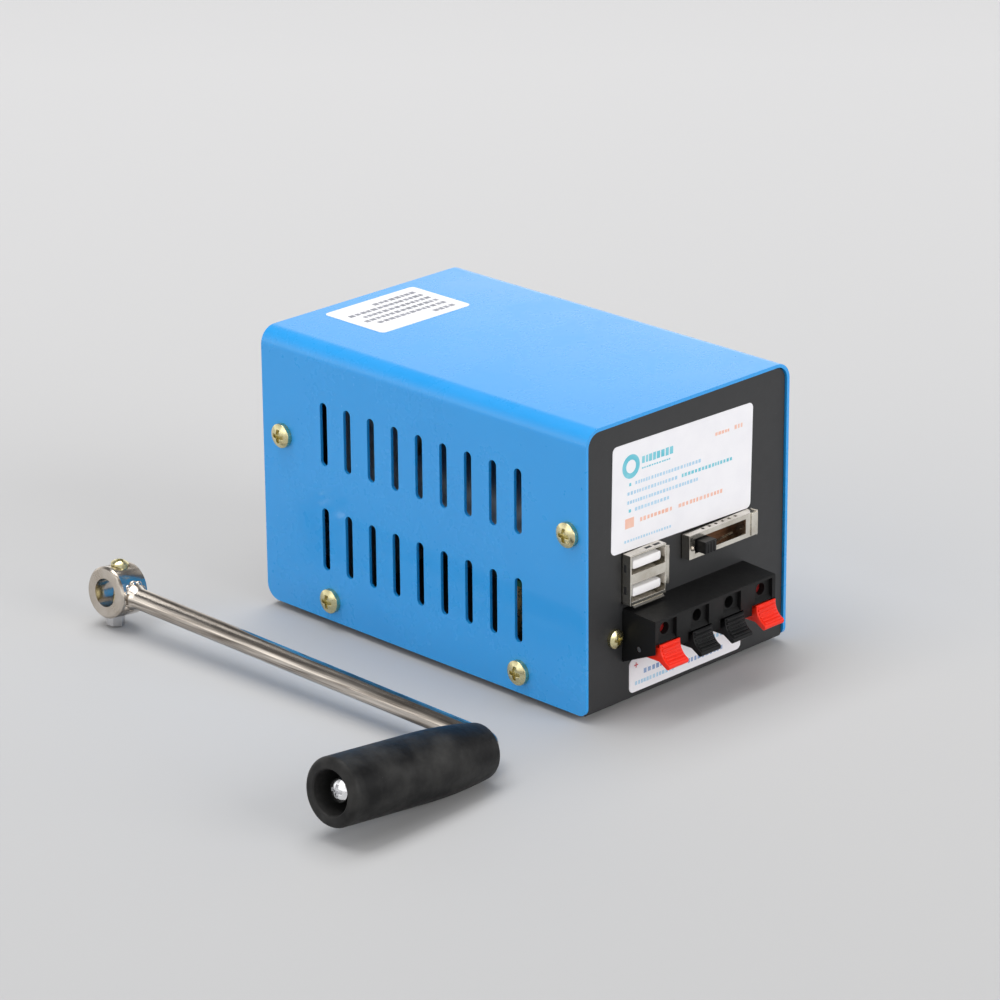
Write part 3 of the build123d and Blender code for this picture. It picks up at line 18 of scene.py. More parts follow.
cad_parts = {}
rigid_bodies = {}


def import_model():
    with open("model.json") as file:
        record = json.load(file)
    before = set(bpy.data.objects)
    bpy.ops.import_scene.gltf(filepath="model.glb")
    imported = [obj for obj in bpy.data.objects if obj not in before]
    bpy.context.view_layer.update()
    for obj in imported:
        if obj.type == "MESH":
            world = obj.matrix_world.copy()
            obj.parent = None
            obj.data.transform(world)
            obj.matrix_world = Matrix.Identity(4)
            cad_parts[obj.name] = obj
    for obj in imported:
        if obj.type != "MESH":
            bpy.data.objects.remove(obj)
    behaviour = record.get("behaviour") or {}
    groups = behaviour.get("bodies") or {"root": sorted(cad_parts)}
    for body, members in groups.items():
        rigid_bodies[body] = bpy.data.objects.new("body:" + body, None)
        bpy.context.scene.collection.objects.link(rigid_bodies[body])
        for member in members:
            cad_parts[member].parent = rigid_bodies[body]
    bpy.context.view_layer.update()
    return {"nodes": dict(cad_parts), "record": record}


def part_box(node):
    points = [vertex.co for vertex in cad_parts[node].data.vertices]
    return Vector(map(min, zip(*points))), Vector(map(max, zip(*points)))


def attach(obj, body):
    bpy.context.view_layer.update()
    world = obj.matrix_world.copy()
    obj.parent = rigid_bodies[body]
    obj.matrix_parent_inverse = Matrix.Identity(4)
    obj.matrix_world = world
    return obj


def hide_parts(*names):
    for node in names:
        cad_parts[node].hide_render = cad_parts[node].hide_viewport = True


log = logging.getLogger("hand_crank_generator")
MM = 0.001

# A Mix node's sockets share names across its kinds of data, so they are found by number.
FACTOR = 0
FIRST_NUMBER = 2
SECOND_NUMBER = 3
FIRST_COLOUR = 6
SECOND_COLOUR = 7
MIXED_COLOUR = 2


class Slot(Enum):
    """Names of material slots, which the script defines but does not use."""

    LABEL = "label"
    NICKEL = "nickel"
    STEEL = "steel"
    BRASS = "brass"
    COPPER = "copper"
    WHITE_PLASTIC = "white_plastic"
    BLACK_PLASTIC = "black_plastic"
    RED_PLASTIC = "red_plastic"


class Along(Enum):
    """The direction that a bar, rod or brushed grain runs."""

    X = (1.0, 0.0, 0.0)
    Y = (0.0, 1.0, 0.0)
    Z = (0.0, 0.0, 1.0)

    def turn(self) -> Matrix:
        """Turn that carries +Z to this direction."""
        return Vector((0.0, 0.0, 1.0)).rotation_difference(Vector(self.value)).to_matrix().to_4x4()


# --- shader node groups --------------------------------------------------------------------------


class NodeWork:
    """A node tree under construction."""

    def __init__(self, tree: bpy.types.NodeTree) -> None:
        """Work on the given tree."""
        self.tree = tree

    def node(self, kind: str, values: dict | None = None, **settings: object) -> bpy.types.Node:
        """Add a node.

        Args:
            kind: the node's type without its ShaderNode prefix.
            values: its input sockets, by name or number, and what they are set to.
            settings: attributes of the node to set.

        Returns:
            The new node.
        """
        made = self.tree.nodes.new(f"ShaderNode{kind}")
        for key, value in settings.items():
            setattr(made, key, value)
        for key, value in (values or {}).items():
            made.inputs[key].default_value = value
        return made

    def join(self, source: bpy.types.NodeSocket, target: bpy.types.NodeSocket) -> None:
        """Link one socket to another."""
        self.tree.links.new(source, target)


class EffectGroup(NodeWork):
    """A shared node group under construction: a Vector and named values in, one value out."""

    def __init__(self, name: str, output: str, kind: str = "Float") -> None:
        """Start a group.

        Args:
            name: the group's name.
            output: the name of its output.
            kind: the output's kind, Float or Color.
        """
        super().__init__(bpy.data.node_groups.new(name, "ShaderNodeTree"))
        self.entry = self.tree.nodes.new("NodeGroupInput")
        self.exit = self.tree.nodes.new("NodeGroupOutput")
        self.output = output
        self.tree.interface.new_socket(name=output, in_out="OUTPUT", socket_type=f"NodeSocket{kind}")
        self.takes("Vector", "Vector")

    def takes(self, name: str, kind: str, default: object = None) -> None:
        """Add a named input.

        Args:
            name: the socket's name.
            kind: Vector, Float or Color.
            default: the value that it starts with.
        """
        socket = self.tree.interface.new_socket(name=name, in_out="INPUT", socket_type=f"NodeSocket{kind}")
        if default is not None:
            socket.default_value = default

    def feed(self, name: str, *targets: bpy.types.NodeSocket) -> None:
        """Link one of the group's inputs to each of the given sockets."""
        for target in targets:
            self.join(self.entry.outputs[name], target)

    def finish(self, source: bpy.types.NodeSocket) -> bpy.types.NodeTree:
        """Link the group's output, and hand the finished group back."""
        self.join(source, self.exit.inputs[self.output])
        return self.tree


def mottle_group() -> bpy.types.NodeTree:
    """Slow colour variation between two shades.

    Returns:
        A group with Vector, Scale, Amount and two colours in, and a Color out.
    """
    group = EffectGroup("mottle", "Color", "Color")
    group.takes("Scale", "Float", 60.0)
    group.takes("Amount", "Float", 0.5)
    group.takes("Main Color", "Color", (0.5, 0.5, 0.5, 1.0))
    group.takes("Second Color", "Color", (0.4, 0.4, 0.4, 1.0))
    noise = group.node("TexNoise", {"Detail": 5.0, "Roughness": 0.55})
    ramp = group.node("MapRange", {"From Min": 0.38, "From Max": 0.66})
    share = group.node("Math", operation="MULTIPLY")
    mix = group.node("Mix", data_type="RGBA")
    group.feed("Vector", noise.inputs["Vector"])
    group.feed("Scale", noise.inputs["Scale"])
    group.join(noise.outputs["Fac"], ramp.inputs["Value"])
    group.join(ramp.outputs["Result"], share.inputs[0])
    group.feed("Amount", share.inputs[1])
    group.join(share.outputs["Value"], mix.inputs[FACTOR])
    group.feed("Main Color", mix.inputs[FIRST_COLOUR])
    group.feed("Second Color", mix.inputs[SECOND_COLOUR])
    return group.finish(mix.outputs[MIXED_COLOUR])


def smudge_group() -> bpy.types.NodeTree:
    """Roughness that varies as handling and moulding leave it.

    Returns:
        A group with Vector, Scale, Low and High in, and Roughness out.
    """
    group = EffectGroup("smudge", "Roughness")
    group.takes("Scale", "Float", 40.0)
    group.takes("Low", "Float", 0.3)
    group.takes("High", "Float", 0.5)
    broad = group.node("TexNoise", {"Detail": 3.0})
    fine = group.node("TexNoise", {"Detail": 2.0})
    faster = group.node("Math", {1: 9.0}, operation="MULTIPLY")
    blend = group.node("Mix", {FACTOR: 0.35}, data_type="FLOAT")
    ramp = group.node("MapRange", {"From Min": 0.36, "From Max": 0.64})
    group.feed("Vector", broad.inputs["Vector"], fine.inputs["Vector"])
    group.feed("Scale", broad.inputs["Scale"], faster.inputs[0])
    group.join(faster.outputs["Value"], fine.inputs["Scale"])
    group.join(broad.outputs["Fac"], blend.inputs[FIRST_NUMBER])
    group.join(fine.outputs["Fac"], blend.inputs[SECOND_NUMBER])
    group.join(blend.outputs[0], ramp.inputs["Value"])
    group.feed("Low", ramp.inputs["To Min"])
    group.feed("High", ramp.inputs["To Max"])
    return group.finish(ramp.outputs["Result"])


def grain_group() -> bpy.types.NodeTree:
    """Fine surface relief, stretched along one direction where it is brushed or drawn.

    Returns:
        A group with Vector, Scale and Stretch in, and Height out.
    """
    group = EffectGroup("grain", "Height")
    group.takes("Scale", "Float", 900.0)
    group.takes("Stretch", "Vector", (1.0, 1.0, 1.0))
    pull = group.node("VectorMath", operation="MULTIPLY")
    noise = group.node("TexNoise", {"Detail": 2.5})
    group.feed("Vector", pull.inputs[0])
    group.feed("Stretch", pull.inputs[1])
    group.join(pull.outputs["Vector"], noise.inputs["Vector"])
    group.feed("Scale", noise.inputs["Scale"])
    return group.finish(noise.outputs["Fac"])


def speck_group() -> bpy.types.NodeTree:
    """Small scattered specks of dust, print grain or pitting.

    Returns:
        A group with Vector, Scale and Size in, and a Mask out that is 1 on a speck.
    """
    group = EffectGroup("speck", "Mask")
    group.takes("Scale", "Float", 700.0)
    group.takes("Size", "Float", 0.12)
    cells = group.node("TexVoronoi")
    near = group.node("Math", operation="LESS_THAN")
    patch = group.node("TexNoise")
    slower = group.node("Math", {1: 0.12}, operation="MULTIPLY")
    gate = group.node("Math", {1: 0.55}, operation="GREATER_THAN")
    both = group.node("Math", operation="MULTIPLY")
    group.feed("Vector", cells.inputs["Vector"], patch.inputs["Vector"])
    group.feed("Scale", cells.inputs["Scale"], slower.inputs[0])
    group.join(cells.outputs["Distance"], near.inputs[0])
    group.feed("Size", near.inputs[1])
    group.join(slower.outputs["Value"], patch.inputs["Scale"])
    group.join(patch.outputs["Fac"], gate.inputs[0])
    group.join(near.outputs["Value"], both.inputs[0])
    group.join(gate.outputs["Value"], both.inputs[1])
    return group.finish(both.outputs["Value"])


@dataclass
class Effects:
    """The node groups that the finishes share, each built once."""

    mottle: bpy.types.NodeTree = field(default_factory=mottle_group)
    smudge: bpy.types.NodeTree = field(default_factory=smudge_group)
    grain: bpy.types.NodeTree = field(default_factory=grain_group)
    speck: bpy.types.NodeTree = field(default_factory=speck_group)


# --- finishes ------------------------------------------------------------------------------------

Colour = tuple[float, float, float]


class FinishTree(NodeWork):
    """A material's nodes: one Principled shader fed by the shared effects."""

    def __init__(self, name: str, effects: Effects) -> None:
        """Start a material with its shader and object coordinates.

        Args:
            name: the material's name.
            effects: the shared node groups.
        """
        self.material = bpy.data.materials.new(name)
        self.material.use_nodes = True
        super().__init__(self.material.node_tree)
        self.effects = effects
        self.shader = self.tree.nodes["Principled BSDF"]
        self.place = self.node("TexCoord").outputs["Object"]

    def constants(self, **values: float) -> None:
        """Set plain numbers on the shader's own sockets.

        Args:
            values: socket names with underscores for spaces, and their numbers.
        """
        for key, value in values.items():
            self.shader.inputs[key.replace("_", " ")].default_value = value

    def group(self, tree: bpy.types.NodeTree, **values: object) -> bpy.types.Node:
        """Place a shared effect.

        Args:
            tree: the node group.
            values: socket names with underscores for spaces, and their values.

        Returns:
            The group's node, reading object coordinates.
        """
        named = {key.replace("_", " "): value for key, value in values.items()}
        node = self.node("Group", named, node_tree=tree)
        self.join(self.place, node.inputs["Vector"])
        return node

    def colour(self, main: Colour, second: Colour, scale: float, amount: float) -> bpy.types.NodeSocket:
        """Mottled colour.

        Args:
            main: the usual colour.
            second: the colour that it drifts towards.
            scale: patches per metre.
            amount: how far it drifts, 0 to 1.

        Returns:
            The socket that carries the colour.
        """
        shades = {"Main_Color": (*main, 1.0), "Second_Color": (*second, 1.0)}
        return self.group(self.effects.mottle, Scale=scale, Amount=amount, **shades).outputs["Color"]

    def over(
        self, base: bpy.types.NodeSocket, top: Colour, mask: bpy.types.NodeSocket
    ) -> bpy.types.NodeSocket:
        """Lay a second colour over the first where a mask is 1.

        Args:
            base: the colour below.
            top: the colour laid over it.
            mask: where it is laid.

        Returns:
            The socket that carries the mixed colour.
        """
        mix = self.node("Mix", {SECOND_COLOUR: (*top, 1.0)}, data_type="RGBA")
        self.join(mask, mix.inputs[FACTOR])
        self.join(base, mix.inputs[FIRST_COLOUR])
        return mix.outputs[MIXED_COLOUR]

    def paint(self, colour: bpy.types.NodeSocket) -> None:
        """Feed the base colour."""
        self.join(colour, self.shader.inputs["Base Color"])

    def smudged(self, low: float, high: float, scale: float) -> None:
        """Feed a roughness that varies between two values."""
        node = self.group(self.effects.smudge, Scale=scale, Low=low, High=high)
        self.join(node.outputs["Roughness"], self.shader.inputs["Roughness"])

    def relief(self, height: bpy.types.NodeSocket, depth: float) -> None:
        """Feed the normal from a height.

        Args:
            height: the relief, 0 to 1.
            depth: how deep it is, in metres.
        """
        bump = self.node("Bump", {"Strength": 1.0, "Distance": depth})
        self.join(height, bump.inputs["Height"])
        self.join(bump.outputs["Normal"], self.shader.inputs["Normal"])

    def grained(self, scale: float, depth: float, stretch: Colour = (1.0, 1.0, 1.0)) -> None:
        """Feed the normal from fine grain, stretched as given."""
        node = self.group(self.effects.grain, Scale=scale, Stretch=stretch)
        self.relief(node.outputs["Height"], depth)


@dataclass(frozen=True)
class SprayPaint:
    """Sprayed and baked enamel on sheet metal, with its orange-peel texture and a little dust."""

    name: str
    colour: Colour
    shade: Colour
    roughness: tuple[float, float]
    peel_depth: float
    coat: float
    dust: Colour

    def build(self, effects: Effects) -> bpy.types.Material:
        """The finished material."""
        tree = FinishTree(self.name, effects)
        base = tree.colour(self.colour, self.shade, scale=22.0, amount=0.5)
        speck = tree.group(effects.speck, Scale=900.0, Size=0.07)
        tree.paint(tree.over(base, self.dust, speck.outputs["Mask"]))
        tree.smudged(*self.roughness, scale=35.0)
        tree.grained(scale=420.0, depth=self.peel_depth)
        tree.constants(Coat_Weight=self.coat, Coat_Roughness=0.06, Specular_IOR_Level=0.5)
        return tree.material


@dataclass(frozen=True)
class Metal:
    """Bare or plated metal, with drawn, turned or brushed lines and slight tarnish."""

    name: str
    colour: Colour
    tarnish: Colour
    roughness: tuple[float, float]
    stretch: Colour = (1.0, 1.0, 1.0)
    grain_depth: float = 0.000004
    grain_scale: float = 1400.0
    patch_scale: float = 180.0
    tarnished: float = 0.5

    def build(self, effects: Effects) -> bpy.types.Material:
        """The finished material."""
        tree = FinishTree(self.name, effects)
        base = tree.colour(self.colour, self.tarnish, self.patch_scale, self.tarnished)
        pits = tree.group(effects.speck, Scale=1500.0, Size=0.09)
        tree.paint(tree.over(base, self.tarnish, pits.outputs["Mask"]))
        tree.smudged(*self.roughness, self.patch_scale)
        tree.grained(self.grain_scale, self.grain_depth, self.stretch)
        tree.constants(Metallic=1.0)
        return tree.material


@dataclass(frozen=True)
class DrawnRod:
    """Plated rod with dark streaks painted along it, which are a painted dark reflection."""

    name: str
    colour: Colour
    # line is the colour of the painted dark reflection streaks along the rod.
    line: Colour
    roughness: tuple[float, float]
    yaw: float
    line_scale: float = 620.0
    stretch: Colour = (1.0, 0.035, 1.0)

    def build(self, effects: Effects) -> bpy.types.Material:
        """The finished material."""
        tree = FinishTree(self.name, effects)
        square = tree.node("VectorRotate", {"Angle": radians(-self.yaw)}, rotation_type="Z_AXIS")
        pull = tree.node("VectorMath", {1: self.stretch}, operation="MULTIPLY")
        tree.join(tree.place, square.inputs["Vector"])
        tree.join(square.outputs["Vector"], pull.inputs[0])
        tree.place = pull.outputs["Vector"]
        # Painted reflection: the mottle runs fully to the dark line colour, in streaks stretched along the
        # rod.
        tree.paint(tree.colour(self.colour, self.line, self.line_scale, amount=1.0))
        tree.smudged(*self.roughness, self.line_scale)
        tree.grained(self.line_scale * 1.6, depth=0.00002)
        tree.constants(Metallic=1.0)
        return tree.material


@dataclass(frozen=True)
class Moulding:
    """Moulded plastic or rubber, with mould grain and marks from handling."""

    name: str
    colour: Colour
    shade: Colour
    roughness: tuple[float, float]
    grain_depth: float = 0.00001
    grain_scale: float = 1500.0
    patch_scale: float = 70.0
    shaded: float = 0.6
    dust: Colour = (0.25, 0.25, 0.25)
    dust_size: float = 0.05
    gloss: float = 0.45

    def build(self, effects: Effects) -> bpy.types.Material:
        """The finished material."""
        tree = FinishTree(self.name, effects)
        base = tree.colour(self.colour, self.shade, self.patch_scale, self.shaded)
        speck = tree.group(effects.speck, Scale=1100.0, Size=self.dust_size)
        tree.paint(tree.over(base, self.dust, speck.outputs["Mask"]))
        tree.smudged(*self.roughness, self.patch_scale)
        tree.grained(self.grain_scale, self.grain_depth)
        tree.constants(Specular_IOR_Level=self.gloss)
        return tree.material


@dataclass(frozen=True)
class PrintedFilm:
    """Printed adhesive film: paper-white or an ink, under a thin gloss."""

    name: str
    colour: Colour
    shade: Colour
    coat: float = 0.4

    def build(self, effects: Effects) -> bpy.types.Material:
        """The finished material."""
        tree = FinishTree(self.name, effects)
        base = tree.colour(self.colour, self.shade, scale=160.0, amount=0.6)
        speck = tree.group(effects.speck, Scale=2400.0, Size=0.1)
        tree.paint(tree.over(base, self.shade, speck.outputs["Mask"]))
        tree.smudged(low=0.32, high=0.5, scale=60.0)
        tree.grained(scale=260.0, depth=0.000012)
        tree.constants(Coat_Weight=self.coat, Coat_Roughness=0.18, Specular_IOR_Level=0.4)
        return tree.material


@dataclass(frozen=True)
class WoundWire:
    """Enamelled copper wire wound side by side, as bands across the given direction, with painted shade in
    the creases between turns.
    """

    name: str
    colour: Colour
    # gap is the colour of the painted shade between the turns.
    gap: Colour
    pitch: float
    across: Along
    scale_at_one_metre: float = 0.314

    def build(self, effects: Effects) -> bpy.types.Material:
        """The finished material."""
        tree = FinishTree(self.name, effects)
        bands = tree.node(
            "TexWave",
            {"Scale": self.scale_at_one_metre / self.pitch, "Distortion": 0.6},
            wave_type="BANDS",
            bands_direction=self.across.name,
        )
        tree.join(tree.place, bands.inputs["Vector"])
        # Painted shade: where the bands are low, between turns, the colour goes to the gap colour.
        turn = tree.node("Math", {1: 0.18}, operation="LESS_THAN")
        tree.join(bands.outputs["Fac"], turn.inputs[0])
        darker = tuple(0.7 * part for part in self.colour)
        base = tree.colour(self.colour, darker, scale=120.0, amount=0.5)
        tree.paint(tree.over(base, self.gap, turn.outputs["Value"]))
        tree.smudged(low=0.25, high=0.42, scale=150.0)
        tree.relief(bands.outputs["Fac"], depth=0.00012)
        tree.constants(Metallic=0.75, Coat_Weight=0.4, Coat_Roughness=0.2)
        return tree.material


@dataclass(frozen=True)
class BoardLaminate:
    """Circuit board laminate under green resist, with faint tracks in squared runs."""

    name: str
    colour: Colour
    track: Colour

    def build(self, effects: Effects) -> bpy.types.Material:
        """The finished material."""
        tree = FinishTree(self.name, effects)
        black, white = (0.0, 0.0, 0.0, 1.0), (1.0, 1.0, 1.0, 1.0)
        runs = {"Scale": 120.0, "Mortar Size": 0.045, "Color1": black, "Color2": black, "Mortar": white}
        bricks = tree.node("TexBrick", runs)
        tree.join(tree.place, bricks.inputs["Vector"])
        darker = tuple(0.6 * part for part in self.colour)
        base = tree.colour(self.colour, darker, scale=90.0, amount=0.6)
        tree.paint(tree.over(base, self.track, bricks.outputs["Fac"]))
        tree.smudged(low=0.3, high=0.45, scale=80.0)
        tree.relief(bricks.outputs["Fac"], depth=0.00003)
        tree.constants(Coat_Weight=0.5, Coat_Roughness=0.15)
        return tree.material


@dataclass
class Finishes:
    """Every finish on the object, and the studio's floor."""

    effects: Effects = field(default_factory=Effects)
    made: dict[str, bpy.types.Material] = field(default_factory=dict)

    def recipes(self) -> list[object]:
        """The finishes in the order that they are built."""
        return [
            SprayPaint(
                "blue_enamel",
                (0.018, 0.330, 0.79),
                (0.015, 0.305, 0.75),
                roughness=(0.22, 0.34),
                peel_depth=0.000004,
                coat=0.4,
                dust=(0.15, 0.45, 0.85),
            ),
            SprayPaint(
                "black_enamel",
                (0.0215, 0.022, 0.0232),
                (0.017, 0.0173, 0.0185),
                roughness=(0.42, 0.56),
                peel_depth=0.000012,
                coat=0.0,
                dust=(0.08, 0.08, 0.08),
            ),
            Metal("yellow_zinc", (0.74, 0.68, 0.40), (0.50, 0.42, 0.22), (0.18, 0.34), patch_scale=420.0),
            Metal(
                "bright_nickel",
                (0.60, 0.545, 0.48),
                (0.36, 0.30, 0.235),
                (0.12, 0.3),
                stretch=(1.0, 0.05, 1.0),
                grain_depth=0.000012,
                grain_scale=900.0,
            ),
            # The crank arm's dark streaks are painted reflection, in the line colour.
            DrawnRod("drawn_nickel_painted_reflection", (0.76, 0.69, 0.61), (0.06, 0.042, 0.03), (0.06, 0.22), 1.5),
            Metal("dull_nickel", (0.80, 0.765, 0.69), (0.46, 0.41, 0.33), (0.12, 0.26), (0.1, 1.0, 1.0)),
            Metal("white_zinc", (0.88, 0.88, 0.89), (0.70, 0.70, 0.72), (0.1, 0.22)),
            Metal("cut_steel", (0.52, 0.52, 0.53), (0.38, 0.37, 0.36), (0.28, 0.45), (1.0, 0.1, 1.0)),
            Metal("rolled_steel", (0.60, 0.60, 0.61), (0.45, 0.44, 0.43), (0.3, 0.48), (0.06, 1.0, 1.0)),
            Metal(
                "lamination_steel",
                (0.30, 0.30, 0.31),
                (0.20, 0.18, 0.16),
                (0.4, 0.6),
                stretch=(1.0, 40.0, 1.0),
                grain_depth=0.00003,
                grain_scale=60.0,
            ),
            Metal("spring_brass", (0.75, 0.58, 0.28), (0.55, 0.38, 0.16), (0.22, 0.4), (1.0, 0.2, 1.0)),
            Metal("oiled_bronze", (0.48, 0.30, 0.14), (0.24, 0.14, 0.07), (0.42, 0.62), grain_depth=0.00002),
            Metal("commutator_copper", (0.80, 0.42, 0.24), (0.40, 0.19, 0.10), (0.22, 0.42), (1.0, 8.0, 1.0)),
            Moulding(
                "terminal_black",
                (0.009, 0.009, 0.0092),
                (0.006, 0.006, 0.0062),
                (0.4, 0.54),
                dust=(0.05, 0.05, 0.05),
                gloss=0.2,
            ),
            Moulding(
                "lever_black",
                (0.0045, 0.0045, 0.005),
                (0.006, 0.006, 0.0063),
                (0.3, 0.44),
                dust=(0.06, 0.06, 0.06),
                gloss=0.2,
            ),
            Moulding(
                "lever_red",
                (0.86, 0.026, 0.008),
                (0.78, 0.02, 0.007),
                (0.26, 0.4),
                dust=(0.9, 0.25, 0.2),
                gloss=0.3,
            ),
            Moulding("hole_red", (0.22, 0.008, 0.008), (0.16, 0.006, 0.006), (0.35, 0.5)),
            Moulding("knob_black", (0.008, 0.008, 0.0085), (0.012, 0.012, 0.0125), (0.3, 0.45), gloss=0.3),
            Moulding(
                "grip_black",
                (0.006, 0.006, 0.0063),
                (0.05, 0.049, 0.047),
                (0.36, 0.62),
                grain_depth=0.00007,
                grain_scale=420.0,
                patch_scale=60.0,
                shaded=0.85,
                dust=(0.07, 0.07, 0.07),
                dust_size=0.06,
                gloss=0.14,
            ),
            Moulding("foot_rubber", (0.022, 0.022, 0.022), (0.03, 0.03, 0.03), (0.6, 0.8), 0.00004),
            Moulding("socket_white", (0.92, 0.90, 0.90), (0.86, 0.84, 0.84), (0.25, 0.38), 0.000006),
            Moulding(
                "phenolic_brown",
                (0.15, 0.06, 0.022),
                (0.03, 0.014, 0.008),
                (0.4, 0.55),
                patch_scale=500.0,
            ),
            Moulding("cap_black", (0.03, 0.03, 0.032), (0.02, 0.02, 0.02), (0.45, 0.62), 0.00003),
            Moulding("lead_red", (0.55, 0.02, 0.015), (0.45, 0.02, 0.015), (0.35, 0.5)),
            Moulding("ferrite_grey", (0.075, 0.075, 0.08), (0.05, 0.05, 0.055), (0.55, 0.75), 0.00004, 700.0),
            PrintedFilm("label_white", (0.87, 0.86, 0.89), (0.82, 0.81, 0.85)),
            PrintedFilm("ink_grey", (0.16, 0.17, 0.20), (0.34, 0.35, 0.40)),
            PrintedFilm("ink_teal", (0.12, 0.52, 0.64), (0.34, 0.70, 0.78)),
            PrintedFilm("ink_blue", (0.38, 0.60, 0.78), (0.58, 0.74, 0.86)),
            PrintedFilm("ink_slate", (0.20, 0.32, 0.56), (0.42, 0.52, 0.70)),
            PrintedFilm("ink_orange", (0.86, 0.46, 0.34), (0.88, 0.64, 0.54)),
            PrintedFilm("ink_red", (0.55, 0.05, 0.06), (0.62, 0.14, 0.14)),
            # The gap colours are painted shade between the turns of wire.
            WoundWire("rotor_wire", (0.62, 0.26, 0.12), (0.10, 0.03, 0.01), 0.0005, Along.X),
            WoundWire("choke_wire", (0.70, 0.30, 0.14), (0.12, 0.04, 0.015), 0.0011, Along.Z),
            BoardLaminate("board_laminate", (0.010, 0.10, 0.045), (0.03, 0.20, 0.09)),
        ]

    def build(self) -> None:
        """Make every finish."""
        for recipe in self.recipes():
            self.made[recipe.name] = recipe.build(self.effects)

    def __getitem__(self, name: str) -> bpy.types.Material:
        """The finish of that name."""
        return self.made[name]

    def dress(self, nodes: dict[str, bpy.types.Object], plan: dict[str, str]) -> None:
        """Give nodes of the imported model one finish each.

        Args:
            nodes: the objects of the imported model, by node.
            plan: the finish of each node.
        """
        for name, finish in plan.items():
            nodes[name].data.materials.clear()
            nodes[name].data.materials.append(self[finish])


# --- pieces --------------------------------------------------------------------------------------


def add_object(name: str, data: bpy.types.ID) -> bpy.types.Object:
    """Make an object of the given data and link it into the scene."""
    made = bpy.data.objects.new(name, data)
    bpy.context.scene.collection.objects.link(made)
    return made


def surfaced(
    name: str, work: bmesh.types.BMesh, finish: bpy.types.Material, crease: float
) -> bpy.types.Object:
    """Turn a bmesh into a smooth-shaded object with one finish.

    Args:
        name: the object's name.
        work: the bmesh, which is freed.
        finish: its material.
        crease: edges sharper than this many degrees stay crisp.

    Returns:
        The new object.
    """
    data = bpy.data.meshes.new(name)
    work.to_mesh(data)
    work.free()
    data.shade_smooth()
    data.set_sharp_from_angle(angle=radians(crease))
    data.materials.append(finish)
    return add_object(name, data)


def edges_of(verts: list[bmesh.types.BMVert]) -> list[bmesh.types.BMEdge]:
    """The edges that meet the given vertices, each once."""
    return list({edge for vert in verts for edge in vert.link_edges})


